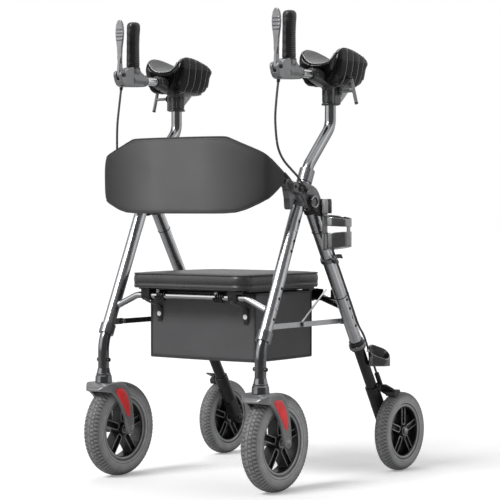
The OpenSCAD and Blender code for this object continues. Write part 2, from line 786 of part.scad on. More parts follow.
module cane_cup() {
    difference() {
        union() {
            translate([cane_cup_at.x, cane_cup_at.y, cane_cup_low]) rotate([0, 0, cane_cup_turn])
                linear_extrude(56) cane_cup_outline(0);
            box([leg_x + 14, 122, 322], [leg_x + 26, 152, 338]);
        }
        translate([cane_cup_at.x, cane_cup_at.y, cane_cup_low + holder_wall]) rotate([0, 0, cane_cup_turn])
            linear_extrude(60) cane_cup_outline(holder_wall);
        translate([cane_cup_at.x, cane_cup_at.y, cane_rim_z]) rotate([0, 0, cane_rim_turn]) rotate([0, cane_rim_slope, 0])
            translate([-90, -90, 0]) cube([180, 180, 60]);
        on_rear_leg(280) cylinder(r = collar_r + 0.2, h = 120);
        on_rear_leg(280) translate([0, 0, 60]) cable_pass(guide_out);
    }
}

// Rear lower legs and wheel brackets
rear_insert = 140;
bracket_top_z = 227;
sleeve_low_z = 158;
sleeve_r = slide_r + 4;
rear_slide_low = 170;

module rear_lower_leg(side) {
    color([0.12, 0.12, 0.12]) side_of(side)
        on_rear_leg(rear_slide_low)
            cylinder(r = slide_r, h = (rear_leg_low + rear_insert - rear_slide_low) / cos(rear_rake));
}

bracket_half = 13;
brake_pivot = [rear_y(222) + 3, 222];
brake_pin_d = 6;

module wheel_bracket(side) {
    color([0.1, 0.1, 0.1]) side_of(side) difference() {
        union() {
            on_rear_leg(sleeve_low_z) cylinder(r = sleeve_r, h = (bracket_top_z - sleeve_low_z) / cos(rear_rake));
            plate_x(leg_x - bracket_half, leg_x + bracket_half) {
                translate([rear_axle_y, rear_wheel_r]) circle(r = 15);
                polygon([[rear_axle_y - 13.5, rear_wheel_r - 6], [rear_y(175) - 17, 175], [rear_y(175) + 17, 175],
                    [rear_axle_y + 13.5, rear_wheel_r + 6]]);
            }
            bar_x(leg_x - bracket_half - 4, rear_wheel_x + 18, rear_axle_y, rear_wheel_r, axle_r);
            bar_x(leg_x - bracket_half - 7, leg_x - bracket_half, rear_axle_y, rear_wheel_r, axle_r + 4);
            bar_x(leg_x + bracket_half, rear_wheel_x - rear_hub_w / 2 - face_gap, rear_axle_y, rear_wheel_r, axle_r + 3);
            bar_x(leg_x, arm_x + 5.6, brake_pivot.x, brake_pivot.y, brake_pin_d / 2);
            bar_x(leg_x, arm_x - face_gap, brake_pivot.x, brake_pivot.y, brake_pin_d / 2 + 3);
            cable_guide();
        }
        on_rear_leg(rear_slide_low) cylinder(r = slide_r, h = 200);
    }
}

guide_r = 6.5;

module cable_guide() {
    difference() {
        hull_free_guide();
        on_rear_leg(230) translate([lower_side.x * guide_out, lower_side.y * guide_out, -40]) cylinder(r = cable_r + 0.8, h = 90);
    }
}

module hull_free_guide() {
    on_rear_leg(212) translate([lower_side.x * guide_out, lower_side.y * guide_out, 0]) cylinder(r = guide_r, h = 48);
}

// Brake arm: a lever over the tyre with a shoe that stops short of the tread at rest
shoe_gap = 2.2;
shoe_at = [232, 207];
arm_x = leg_x + lower_side.x * guide_out + guide_r + 1;

module brake_arm(side) {
    tread_r = rear_wheel_r + shoe_gap;
    color("gray") side_of(side) difference() {
        union() {
            plate_x(arm_x, arm_x + 5) {
                translate(brake_pivot) circle(r = 8);
                polygon([brake_pivot + [-6, -6], brake_pivot + [4, 8], [238, 216], [236, 203], [222, 203]]);
            }
            plate_x(arm_x + 4, rear_wheel_x + 16)
                polygon([[214, 211], [220, 219], [242, 217], [246, 205], [236, 200], [218, 200]]);
            plate_x(arm_x, rear_wheel_x + 8)
                polygon([[186, 231], [188, 234.5], [226, 220], [224, 216]]);
        }
        bar_x(arm_x - 1, arm_x + 6, brake_pivot.x, brake_pivot.y, brake_pin_d / 2 + fit);
        bar_x(arm_x - 3, rear_wheel_x + 20, rear_axle_y, rear_wheel_r, tread_r);
    }
}

// Wheels: a tyre with rounded shoulders and grooves, on a five-spoke rim
spokes = 5;
rear_hub_w = 30;
front_hub_w = 40;

module tyre(r, w, bead_r) {
    depth = r - bead_r;
    rotate([0, 90, 0]) rotate_extrude($fn = 96) difference() {
        polygon([
            [bead_r, -w * 0.36], [bead_r + depth * 0.2, -w * 0.47], [bead_r + depth * 0.5, -w * 0.5],
            [r - depth * 0.26, -w * 0.47], [r - depth * 0.13, -w * 0.4], [r - depth * 0.04, -w * 0.26], [r, -w * 0.1],
            [r, w * 0.1], [r - depth * 0.04, w * 0.26], [r - depth * 0.13, w * 0.4], [r - depth * 0.26, w * 0.47],
            [bead_r + depth * 0.5, w * 0.5], [bead_r + depth * 0.2, w * 0.47], [bead_r, w * 0.36]
        ]);
        for (s = [-1, 1]) translate([r - 1.6, s * w * 0.12 - 1]) square([3, 2]);
    }
}

module rim(r, w, hub_r, hub_w, bore_r, spoke_w) {
    difference() {
        union() {
            rotate([0, 90, 0]) rotate_extrude($fn = 96) {
                polygon([
                    [r, -w * 0.36], [r, w * 0.36], [r - 2, w * 0.39], [r - 9, w * 0.39], [r - 10, w * 0.34],
                    [r - 10, -w * 0.34], [r - 9, -w * 0.39], [r - 2, -w * 0.39]
                ]);
                polygon([[0, -hub_w / 2], [hub_r, -hub_w / 2], [hub_r + 2, 0], [hub_r, hub_w / 2], [0, hub_w / 2]]);
            }
            for (i = [0:spokes - 1]) rotate([90 + i * 360 / spokes, 0, 0]) spoke(r, w, hub_r, hub_w, spoke_w);
        }
        rotate([0, 90, 0]) cylinder(r = bore_r, h = 2 * w, center = true);
    }
}

module spoke(r, w, hub_r, hub_w, spoke_w) {
    rib = 2.4;
    length = r - 9 - hub_r;
    for (s = [-1, 1]) translate([-w * 0.3, hub_r - 1, s * spoke_w / 2 - rib / 2]) cube([w * 0.6, length + 1, rib]);
    translate([-w * 0.14, hub_r - 1, -spoke_w / 2]) cube([w * 0.28, length + 1, spoke_w]);
}

module rear_tyre(side) {
    color([0.2, 0.2, 0.2]) translate([side * rear_wheel_x, rear_axle_y, rear_wheel_r])
        tyre(rear_wheel_r, rear_tyre_w, rear_rim_d / 2);
}

module rear_rim(side) {
    color([0.25, 0.25, 0.25]) translate([side * rear_wheel_x, rear_axle_y, rear_wheel_r])
        rim(rear_rim_d / 2, rear_tyre_w, 13, rear_hub_w, axle_r + fit, 15);
}

module front_tyre(side) {
    color([0.2, 0.2, 0.2]) translate([side * leg_x, front_axle_y, front_wheel_r])
        tyre(front_wheel_r, front_tyre_w, front_rim_d / 2);
}

module front_rim(side) {
    color([0.25, 0.25, 0.25]) translate([side * leg_x, front_axle_y, front_wheel_r])
        rim(front_rim_d / 2, front_tyre_w, 14, front_hub_w, axle_r + fit, 17);
}

// Front lower legs and casters
front_insert = 110;
flare_z = 284;
ring_z = 268;
stem_top = 300;
leg_bolt_z = 306;
lower_vertex_z = apex_z + (stem_y - apex_y) / tan(front_rake);

module front_lower_leg(side) {
    color([0.3, 0.3, 0.31]) side_of(side) difference() {
        union() {
            translate([leg_x, 0, 0])
                bent_tube([
                    [front_y(front_leg_low + front_insert), front_leg_low + front_insert],
                    [stem_y, lower_vertex_z], [stem_y, flare_z - 4]
                ], lower_bend_r, slide_r);
            translate([leg_x, stem_y, 0]) rotate_extrude() polygon([
                [0, flare_z], [slide_r + 1, flare_z], [slide_r + 3.5, ring_z + 3], [housing_d / 2 - 3, ring_z + 2],
                [housing_d / 2 - 3, ring_z - 2], [housing_d / 2 - 1, ring_z - 4], [housing_d / 2, housing_z], [0, housing_z]
            ]);
            bar_x(leg_x - slide_r - 4, leg_x + slide_r + 3, stem_y, leg_bolt_z, 4);
        }
        translate([leg_x, stem_y, housing_z - 1]) cylinder(r = stem_d / 2 + fit, h = stem_top - housing_z + 1);
    }
}

crown_z = housing_z - face_gap;
fork_half = fork_w / 2;
tyre_gap = 4;

module fork_outline() {
    s = stem_y;
    a = front_axle_y;
    r = front_wheel_r;
    polygon([
        [s - 41, 227], [s - 42, 231], [s - 36, 238], [s - 20, crown_z - 1], [s - 14, crown_z], [s + 14, crown_z],
        [s + 24, crown_z], [s + 36, 244], [s + 46, 236], [a - 3, 216], [a + 6, 190], [a + 11, 160], [a + 13, 134],
        [a + 13, r], [a - 13, r], [a - 17, 134], [a - 24, 156], [a - 34, 177], [a - 45, 195], [a - 58, 211],
        [a - 73, 222]
    ]);
    translate([a, r]) circle(r = 13);
}

module fork(side) {
    color([0.35, 0.35, 0.36]) side_of(side) {
        difference() {
            intersection() {
                plate_x(leg_x - fork_half, leg_x + fork_half) fork_outline();
                union() {
                    translate([leg_x, stem_y, 0]) cylinder(r = fork_half + 3, h = 300);
                    box([leg_x - fork_half, stem_y, 0], [leg_x + fork_half, stem_y + 150, 300]);
                }
            }
            bar_x(leg_x - fork_half + fork_arm_t, leg_x + fork_half - fork_arm_t, front_axle_y, front_wheel_r,
                front_wheel_r + tyre_gap);
            box([leg_x - fork_half + fork_arm_t, stem_y - 80, 0], [leg_x + fork_half - fork_arm_t, stem_y + 150, 200]);
        }
        translate([leg_x, stem_y, crown_z - 4]) cylinder(r = stem_d / 2, h = stem_top - 4 - crown_z);
        bar_x(leg_x - fork_half - 2, leg_x + fork_half + 2, front_axle_y, front_wheel_r, axle_r);
        for (s = [-1, 1]) bar_x(leg_x + s * (fork_half + 1.5) - 1.5, leg_x + s * (fork_half + 1.5) + 1.5,
            front_axle_y, front_wheel_r, axle_r + 2.5);
        for (s = [-1, 1]) {
            inner = leg_x + s * (front_hub_w / 2 + face_gap);
            outer = leg_x + s * (fork_half - fork_arm_t);
            bar_x(min(inner, outer), max(inner, outer), front_axle_y, front_wheel_r, axle_r + 3);
        }
    }
}

// Handle posts
post_insert_z = 640;
post_low_bend = [front_y(post_bend_low), post_bend_low];
post_high_bend = [post_y, post_bend_low + (post_y - front_y(post_bend_low)) / tan(post_slant)];
post_top = 1012;

module handle_post(side) {
    color("silver") side_of(side) translate([leg_x, 0, 0])
        bent_tube([[front_y(post_insert_z), post_insert_z], post_low_bend, post_high_bend, [post_y, post_top]],
            post_bend_r, slide_r);
}

// Arm bracket: a sleeve on the post, a tube clamp above it and a plate under the pad
sleeve_z = 958;
sleeve_half = 20;
clamp_r = 15.5;
clamp_y = [-97, 58];
lever_y = post_y;
lever_z = 993;
lever_hub_x = leg_x + 67;

lever_screw_r = 4;
lever_rod_r = 4.5;
lever_len = 70;
lever_tilt = 14;
lever_reach = lever_hub_x + 4 + lever_len / 2 * sin(lever_tilt) + lever_rod_r * cos(lever_tilt);

module arm_bracket(side) {
    color([0.25, 0.25, 0.26]) side_of(side) difference() {
        union() {
            translate([leg_x, post_y, sleeve_z]) cylinder(r = sleeve_half, h = post_top - sleeve_z + 4);
            box([leg_x + 4, post_y - 14, sleeve_z + 2], [leg_x + sleeve_half + 3, post_y + 14, post_top - 3]);
            bar_y(leg_x, clamp_y[0], clamp_y[1], arm_z, clamp_r);
            box([leg_x - 13, clamp_y[0] + 20, arm_z - 19], [leg_x + 13, clamp_y[1] - 2, arm_z - 8]);
            bar_x(leg_x + sleeve_half - 1, leg_x + sleeve_half + 8, lever_y, lever_z, 9);
            plate_x(leg_x + 8, leg_x + 12)
                polygon([[post_y + 8, post_top - 30], [post_y + 38, post_top + 6], [post_y + 8, post_top + 6]]);
        }
        translate([leg_x, post_y, sleeve_z - 1]) cylinder(r = slide_r, h = post_top - sleeve_z + 1);
        bar_y(leg_x, clamp_y[0] - 1, clamp_y[1] + 1, arm_z, arm_tube_d / 2 + fit);
        bar_x(leg_x + slide_r + 2, leg_x + sleeve_half + 9, lever_y, lever_z, lever_screw_r + fit);
    }
}

module lock_lever(side) {
    color("gray") side_of(side) {
        bar_x(leg_x + slide_r + 3, lever_hub_x, lever_y, lever_z, lever_screw_r);
        translate([lever_hub_x + 4, lever_y, lever_z]) rotate([0, -lever_tilt, 0])
            cylinder(r = lever_rod_r, h = lever_len, center = true);
    }
}

// Forearm pad: a bowl with ribbed wings that wraps down over the clamp
pad_mid_x = leg_x + 2;
pad_front = -66;
bowl_z = 1060;
pad_inner = [[54, 38], [48, 26], [41, 15.5], [31, 7], [18, 1.8]];
pad_outer = [[58, 40], [62.5, 34], [64, 22], [63, 4], [59.5, -17], [54, -35], [46, -49], [36, -54], [26, -53], [22, -46],
    [21, -11]];
pad_stations = [
    [0, 0.2, 0.86, 0], [0.015, 0.42, 0.92, 0], [0.05, 0.7, 0.96, 0], [0.1, 0.9, 1, 0], [0.18, 1, 1, 0],
    [0.235, 1.01, 1, 0], [0.25, 1.01, 1, 1], [0.265, 1, 1, 0], [0.34, 0.98, 1, 0], [0.405, 0.94, 1, 0],
    [0.42, 0.93, 1, 1], [0.435, 0.92, 1, 0], [0.5, 0.87, 1, 0], [0.575, 0.8, 0.99, 0], [0.59, 0.78, 0.99, 1],
    [0.605, 0.77, 0.99, 0], [0.68, 0.69, 0.98, 0], [0.745, 0.61, 0.97, 0], [0.76, 0.59, 0.97, 1],
    [0.775, 0.57, 0.97, 0], [0.86, 0.44, 0.94, 0], [0.94, 0.27, 0.89, 0], [0.985, 0.12, 0.83, 0], [1, 0.02, 0.78, 0]
];
function pad_lift(z, h) = bowl_z + (z > 0 ? z * h : z);
function pad_ring(s) =
    let (y = pad_front + pad_len * s[0], w = s[2], g = 1.6 * s[3],
        rise = function (z) pad_lift(z, s[1]) + (z < -40 ? (1 - w) * 60 : 0))
    concat(
        [for (p = pad_inner) [p[0] * w, y, rise(p[1])]],
        [[0, y, bowl_z]],
        [for (i = [len(pad_inner) - 1:-1:0]) [-pad_inner[i][0] * w, y, rise(pad_inner[i][1])]],
        [for (p = pad_outer) [-(p[0] > 25 ? p[0] * w - (p[1] < 36 ? g : 0) : p[0]), y, rise(p[1])]],
        [[0, y, bowl_z - 11]],
        [for (i = [len(pad_outer) - 1:-1:0]) let (p = pad_outer[i])
            [p[0] > 25 ? p[0] * w - (p[1] < 36 ? g : 0) : p[0], y, rise(p[1])]]);

module arm_pad(side) {
    color([0.1, 0.1, 0.1]) side_of(side) translate([pad_mid_x, 0, 0])
        skin([for (s = pad_stations) pad_ring(s)]);
}

// Arm tube, lever housing, grip and brake lever
tube_front = -236;
tube_rear = 40;

module arm_tube(side) {
    color("silver") side_of(side) difference() {
        bar_y(leg_x, tube_front + 20, tube_rear, arm_z, arm_tube_d / 2);
        bar_y(leg_x, tube_front + 10, tube_rear + 1, arm_z, arm_tube_d / 2 - 1.5);
    }
}

lever_pivot = [-243, 1043];
lever_pin_d = 6;
housing_half = 13;

lever_slot = 4.4;

module grip_housing(side) {
    color([0.42, 0.42, 0.43]) side_of(side) difference() {
        union() {
            plate_x(leg_x - housing_half, leg_x + housing_half) {
                translate(lever_pivot) circle(r = 12);
                polygon([[-254, 1040], [-250, 1027], [-243, 1017.5], [-234, 1013.5], [-222, 1013], [-160, 1016], [-160, 1050],
                    [-168, 1053], [-174, 1059], [-175, 1066], [-207, 1066], [-222, 1062], [-232, 1055]]);
            }
            bar_y(leg_x, -200, -142, arm_z, arm_tube_d / 2 + 4.5);
            translate([leg_x, grip_y, 1050]) cylinder(r = 17, h = 16);
        }
        box([leg_x - lever_slot, -256, 1029], [leg_x + lever_slot, -229, 1070]);
        bar_x(leg_x - housing_half - 1, leg_x + housing_half + 1, lever_pivot.x, lever_pivot.y, lever_pin_d / 2 + fit);
        bar_y(leg_x, tube_front + 20, -141, arm_z, arm_tube_d / 2);
    }
}

grip_low = 1066;
grip_half = [16.5, 19];
grip_profile = [
    [0, 0.9, 0], [3, 1, 0], [30, 0.98, 0], [60, 0.96, 0], [85, 0.98, 1], [100, 1.02, 2], [110, 1, 2.6], [115, 0.9, 3],
    [118, 0.68, 3], [119, 0.35, 3]
];

module grip(side) {
    color([0.1, 0.1, 0.1]) side_of(side) translate([leg_x, grip_y, grip_low])
        skin([for (p = grip_profile) [for (k = [0:23])
            [grip_half.x * p[1] * cos(15 * k), p[2] + grip_half.y * p[1] * sin(15 * k), p[0] * (grip_top - grip_low) / 119]]]);
}

lever_blade = lever_slot - face_gap;
lever_leaf = [[4, 1072], [6.5, 1084], [7, 1100], [7.6, 1112], [9.6, 1126], [12, 1140], [13, 1153], [12.4, 1165], [10, 1176],
    [6.6, 1182.5], [3, 1186]];

module brake_lever(side) {
    color("gray") side_of(side) translate([leg_x, 0, 0]) {
        plate_x(-lever_blade, lever_blade) {
            translate(lever_pivot) circle(r = 9);
            polygon([[-252, 1043], [-250, 1062], [-246, 1096], [-239, 1096], [-236, 1062], [-234.4, 1043]]);
        }
        plate_y(-246, -240) polygon(concat(lever_leaf, [for (i = [len(lever_leaf) - 1:-1:0]) [-lever_leaf[i].x, lever_leaf[i].y]]));
        for (z = [1134, 1143, 1152, 1161]) box([-9, -247, z], [9, -245.5, z + 3]);
        bar_x(-housing_half - 2, housing_half + 2, lever_pivot.x, lever_pivot.y, lever_pin_d / 2);
    }
}

// The cup holder reaches further out than the lock levers, so the walker stands beside the origin
origin_x = round(5 * (cup_at.x + cup_d / 2 - lever_reach)) / 10;

module place() translate([-origin_x, 0, 0]) children();

place() front_leg(left);  // front_leg_left
place() front_leg(right);  // front_leg_right
place() front_collars();
place() top_bracket(left);  // top_bracket_left
place() top_bracket(right);  // top_bracket_right
place() frame_bolts();
place() front_seat_bar();
place() backrest_band();
place() backrest_arms();
place() seat_springs();
place() basket_tub();
place() basket_skirt();
place() upper_cables();
place() seat_pad();
place() seat_board();
place() brace_front_links();
place() brace_rear_links();
place() fold_rods();
place() rear_leg(left);  // rear_leg_left
place() rear_leg(right);  // rear_leg_right
place() hinge_blocks();
place() rear_collars();
place() rear_seat_bar();
place() cup_holder();
place() cane_holder();
place() lower_cables();
place() rear_lower_leg(left);  // rear_lower_leg_left
place() rear_lower_leg(right);  // rear_lower_leg_right
place() wheel_bracket(left);  // wheel_bracket_left
place() wheel_bracket(right);  // wheel_bracket_right
place() brake_arm(left);  // brake_arm_left
place() brake_arm(right);  // brake_arm_right
place() rear_tyre(left);  // rear_tyre_left
place() rear_tyre(right);  // rear_tyre_right
place() rear_rim(left);  // rear_rim_left
place() rear_rim(right);  // rear_rim_right
place() front_lower_leg(left);  // front_lower_leg_left
place() front_lower_leg(right);  // front_lower_leg_right
place() fork(left);  // fork_left
place() fork(right);  // fork_right
place() front_tyre(left);  // front_tyre_left
place() front_tyre(right);  // front_tyre_right
place() front_rim(left);  // front_rim_left
place() front_rim(right);  // front_rim_right
place() handle_post(left);  // handle_post_left
place() handle_post(right);  // handle_post_right
place() arm_bracket(left);  // arm_bracket_left
place() arm_bracket(right);  // arm_bracket_right
place() arm_pad(left);  // arm_pad_left
place() arm_pad(right);  // arm_pad_right
place() lock_lever(left);  // lock_lever_left
place() lock_lever(right);  // lock_lever_right
place() arm_tube(left);  // arm_tube_left
place() arm_tube(right);  // arm_tube_right
place() grip_housing(left);  // grip_housing_left
place() grip_housing(right);  // grip_housing_right
place() grip(left);  // grip_left
place() grip(right);  // grip_right
place() brake_lever(left);  // brake_lever_left
place() brake_lever(right);  // brake_lever_right
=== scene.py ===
"""Looks of the upright walker: camera, light, materials, soft goods, tyres, grips, cables and trim.

Lengths are written in millimetres for the left side (+X) of a walker centred on X, and mesh() puts them in the row frame.
"""

import json
import math

import bpy
import numpy as np
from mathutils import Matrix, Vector, noise


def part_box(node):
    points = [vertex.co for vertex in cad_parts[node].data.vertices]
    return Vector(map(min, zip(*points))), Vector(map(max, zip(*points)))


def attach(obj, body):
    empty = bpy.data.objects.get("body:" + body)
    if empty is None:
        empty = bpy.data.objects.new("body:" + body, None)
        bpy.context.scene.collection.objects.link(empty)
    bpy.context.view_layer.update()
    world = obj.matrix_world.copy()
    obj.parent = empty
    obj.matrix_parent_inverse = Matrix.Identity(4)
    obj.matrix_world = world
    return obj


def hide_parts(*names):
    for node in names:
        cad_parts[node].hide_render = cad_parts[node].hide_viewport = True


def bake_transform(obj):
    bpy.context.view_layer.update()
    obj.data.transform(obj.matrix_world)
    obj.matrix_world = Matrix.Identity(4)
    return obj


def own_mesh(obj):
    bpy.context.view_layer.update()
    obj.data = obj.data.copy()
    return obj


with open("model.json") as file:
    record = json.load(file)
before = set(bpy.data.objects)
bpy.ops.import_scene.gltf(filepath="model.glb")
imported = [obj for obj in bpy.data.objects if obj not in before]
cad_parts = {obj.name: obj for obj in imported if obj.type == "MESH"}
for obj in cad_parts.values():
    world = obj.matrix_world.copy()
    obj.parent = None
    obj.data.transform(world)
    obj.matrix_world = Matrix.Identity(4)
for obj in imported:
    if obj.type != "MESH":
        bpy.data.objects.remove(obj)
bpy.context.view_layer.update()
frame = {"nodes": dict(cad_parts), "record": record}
nodes = frame["nodes"]
ORIGIN_X = 12.3
MM = 0.001
SIDES = (("left", 1), ("right", -1))


# ---------------------------------------------------------------- camera
camera = bpy.data.objects.new("camera", bpy.data.cameras.new("camera"))
bpy.context.scene.collection.objects.link(camera)
camera.data.sensor_width = 36
camera.data.lens = 132.68
camera.data.clip_start = 0.5
camera.data.clip_end = 100
camera.location = (2.8627 - ORIGIN_X * MM, -3.9208, 0.6930)
camera.rotation_euler = (math.radians(90 - 1.255), 0, math.radians(36.212))
bpy.context.scene.camera = camera


# ---------------------------------------------------------------- places shared with the frame
FRONT_RAKE = math.radians(24.4)
REAR_RAKE = math.radians(31.4)
APEX_Y, APEX_Z = -128.6, 750.5
LEG_X = 250.0


def front_y(z):
    return APEX_Y + (z - APEX_Z) * math.tan(FRONT_RAKE)


def rear_y(z):
    return APEX_Y - (z - APEX_Z) * math.tan(REAR_RAKE)


FRONT_AXIS = np.array([0, math.sin(FRONT_RAKE), math.cos(FRONT_RAKE)])
REAR_AXIS = np.array([0, -math.sin(REAR_RAKE), math.cos(REAR_RAKE)])
STEM_Y = front_y(371) - 100 * (1 - math.cos(FRONT_RAKE))
FRONT_AXLE = (STEM_Y + 61, 122.0)
REAR_AXLE = (rear_y(104), 104.0)


# ---------------------------------------------------------------- meshes
def mesh(name, points, faces, side=1, material=None, smooth=True):
    """One object from points in millimetres; side -1 mirrors them across X."""
    pts = np.array(points, float).reshape(-1, 3).copy()
    if side < 0:
        pts[:, 0] *= -1
        faces = [f[::-1] for f in faces]
    pts[:, 0] -= ORIGIN_X
    data = bpy.data.meshes.new(name)
    data.from_pydata([tuple(p) for p in pts * MM], [], [tuple(int(i) for i in f) for f in faces])
    data.update()
    data.polygons.foreach_set("use_smooth", [smooth] * len(data.polygons))
    obj = bpy.data.objects.new(name, data)
    bpy.context.scene.collection.objects.link(obj)
    if material:
        obj.data.materials.append(material)
    return obj


def ring_faces(n_rings, n, closed_rings=True, caps=True, loop=False):
    faces = []
    for i in range(n_rings if loop else n_rings - 1):
        j = (i + 1) % n_rings
        for k in range(n if closed_rings else n - 1):
            m = (k + 1) % n
            faces.append((i * n + k, i * n + m, j * n + m, j * n + k))
    if caps and not loop:
        faces.append(tuple(range(n))[::-1])
        faces.append(tuple((n_rings - 1) * n + k for k in range(n)))
    return faces


def smooth_path(points, steps):
    p = np.array(points, float)
    out = []
    for i in range(len(p) - 1):
        a, b, c, d = p[max(i - 1, 0)], p[i], p[i + 1], p[min(i + 2, len(p) - 1)]
        for k in range(steps):
            t = k / steps
            out.append(0.5 * (2 * b + (c - a) * t + (2 * a - 5 * b + 4 * c - d) * t * t + (3 * b - a - 3 * c + d) * t ** 3))
    out.append(p[-1])
    return np.array(out)


def tube_points(path, radius, sides=12, loop=False):
    """Rings round a path; radius may be one number or one per point."""
    p = np.array(path, float)
    n = len(p)
    r = np.full(n, radius, float) if np.isscalar(radius) else np.array(radius, float)
    if loop:
        t = np.roll(p, -1, 0) - np.roll(p, 1, 0)
    else:
        t = np.vstack([p[1] - p[0], p[2:] - p[:-2], p[-1] - p[-2]])
    t /= np.linalg.norm(t, axis=1)[:, None]
    u = np.cross(t[0], (0, 0, 1) if abs(t[0][2]) < 0.9 else (0, 1, 0))
    rings = []
    for i in range(n):
        u = u - t[i] * (u @ t[i])
        u /= np.linalg.norm(u)
        v = np.cross(t[i], u)
        a = np.linspace(0, 2 * math.pi, sides, endpoint=False)
        rings.append(p[i] + r[i] * (np.cos(a)[:, None] * u + np.sin(a)[:, None] * v))
    return np.concatenate(rings)


def tube(name, path, radius, side=1, material=None, sides=12, loop=False):
    return mesh(name, tube_points(path, radius, sides, loop), ring_faces(len(path), sides, loop=loop), side, material)


def revolve(name, profile, centre, axis, side=1, material=None, segments=48, smooth=True, ring=False):
    """A profile of (along, radius) turned round an axis through centre; a ring's profile closes on itself."""
    a = np.array(axis, float)
    a /= np.linalg.norm(a)
    u = np.cross(a, (0, 0, 1) if abs(a[2]) < 0.9 else (0, 1, 0))
    u /= np.linalg.norm(u)
    v = np.cross(a, u)
    c = np.array(centre, float)
    rings = []
    for along, radius in profile:
        t = np.linspace(0, 2 * math.pi, segments, endpoint=False)
        rings.append(c + a * along + radius * (np.cos(t)[:, None] * u + np.sin(t)[:, None] * v))
    return mesh(name, np.concatenate(rings), ring_faces(len(profile), segments, loop=ring), side, material, smooth)


def join(name, objs):
    """Several meshes of one material as one object."""
    with bpy.context.temp_override(active_object=objs[0], selected_editable_objects=objs, object=objs[0]):
        bpy.ops.object.join()
    objs[0].name = name
    objs[0].data.name = name
    return objs[0]


def soften(obj, levels=1):
    m = obj.modifiers.new("subdivision", "SUBSURF")
    m.levels = levels
    m.render_levels = levels
    apply_modifiers(obj)
    return obj


def bevel(obj, width, segments=2, angle=35):
    m = obj.modifiers.new("bevel", "BEVEL")
    m.width = width * MM
    m.segments = segments
    m.limit_method = "ANGLE"
    m.angle_limit = math.radians(angle)
    apply_modifiers(obj)
    return obj


def apply_modifiers(obj):
    dg = bpy.context.evaluated_depsgraph_get()
    new = bpy.data.meshes.new_from_object(obj.evaluated_get(dg))
    old = obj.data
    obj.modifiers.clear()
    obj.data = new
    new.name = obj.name
    bpy.data.meshes.remove(old)
    new.polygons.foreach_set("use_smooth", [True] * len(new.polygons))
    new.update()


def weld(obj, distance=0.02):
    m = obj.modifiers.new("weld", "WELD")
    m.merge_threshold = distance * MM
    apply_modifiers(obj)
    return obj


# ---------------------------------------------------------------- materials
class Shade:
    """A Principled material and short calls for its nodes."""

    def __init__(self, name, color, roughness=0.5, metallic=0.0, **sockets):
        self.mat = bpy.data.materials.new(name)
        self.mat.use_nodes = True
        self.tree = self.mat.node_tree
        self.bsdf = next(n for n in self.tree.nodes if n.type == "BSDF_PRINCIPLED")
        self.set(self.bsdf, "Base Color", (*color, 1))
        self.set(self.bsdf, "Roughness", roughness)
        self.set(self.bsdf, "Metallic", metallic)
        for key, value in sockets.items():
            self.set(self.bsdf, key.replace("_", " "), value)
        self.place = self.add("ShaderNodeTexCoord").outputs["Object"]
        self.color = color

    def set(self, node, socket, value):
        if isinstance(value, bpy.types.NodeSocket):
            self.tree.links.new(value, node.inputs[socket])
        else:
            node.inputs[socket].default_value = value

    def add(self, kind, inputs=(), **attributes):
        n = self.tree.nodes.new(kind)
        for key, value in attributes.items():
            setattr(n, key, value)
        for key, value in dict(inputs).items():
            self.set(n, key, value)
        return n

    def math(self, operation, a, b=0.5, clamp=False):
        return self.add("ShaderNodeMath", {0: a, 1: b}, operation=operation, use_clamp=clamp).outputs[0]

    def noise(self, scale, detail=4.0, roughness=0.55, vector=None):
        return self.add("ShaderNodeTexNoise", {"Vector": vector or self.place, "Scale": scale, "Detail": detail,
                                               "Roughness": roughness}).outputs["Fac"]

    def span(self, value, low, high, to_low, to_high):
        return self.add("ShaderNodeMapRange", {"Value": value, "From Min": low, "From Max": high, "To Min": to_low,
                                               "To Max": to_high}).outputs["Result"]

    def mix(self, factor, a, b):
        n = self.add("ShaderNodeMix", data_type="RGBA")
        self.set(n, 0, factor)
        for socket, value in ((6, a), (7, b)):
            n.inputs[socket].default_value = (*value, 1) if isinstance(value, tuple) else (0, 0, 0, 1)
            if isinstance(value, bpy.types.NodeSocket):
                self.tree.links.new(value, n.inputs[socket])
        return n.outputs[2]

    def bump(self, height, strength, distance, normal=None):
        n = self.add("ShaderNodeBump", {"Height": height, "Strength": strength, "Distance": distance})
        if normal:
            self.set(n, "Normal", normal)
        return n.outputs["Normal"]

    def edges(self, radius):
        """1 on sharp edges and 0 on open faces, and the rounded normal."""
        b = self.add("ShaderNodeBevel", {"Radius": radius}, samples=4).outputs["Normal"]
        g = self.add("ShaderNodeNewGeometry").outputs["Normal"]
        d = self.add("ShaderNodeVectorMath", operation="DOT_PRODUCT")
        self.set(d, 0, b)
        self.set(d, 1, g)
        return self.span(d.outputs["Value"], 0.995, 0.86, 0.0, 1.0), b


def tinted(color, gain):
    return tuple(min(1.0, c * gain) for c in color)


def plastic(name, color, roughness=0.45, grain=0.12, edge_highlight_and_wear=2.2, **sockets):
    """Moulded plastic: fine grain, faint flow marks, and lighter edges that are a painted highlight, a little uneven as
    if rubbed.
    """
    s = Shade(name, color, roughness, **sockets)
    edge, rounded = s.edges(0.0012)
    flow = s.span(s.noise(22, 3), 0.35, 0.65, 0.0, 1.0)
    body = s.mix(flow, tinted(color, 0.86), tinted(color, 1.14))
    # the sharp edges are lightened: painted highlight, broken up a little as if rubbed
    lit_and_worn_edge = s.math("MULTIPLY", edge, s.span(s.noise(140, 2), 0.3, 0.6, 0.25, 0.75))
    s.set(s.bsdf, "Base Color", s.mix(lit_and_worn_edge, body, tinted(color, edge_highlight_and_wear)))
    s.set(s.bsdf, "Roughness", s.span(s.noise(60, 5), 0.3, 0.7, roughness - 0.07, roughness + 0.08))
    s.set(s.bsdf, "Normal", s.bump(s.noise(1400, 2), grain, 0.0002, rounded))
    return s.mat


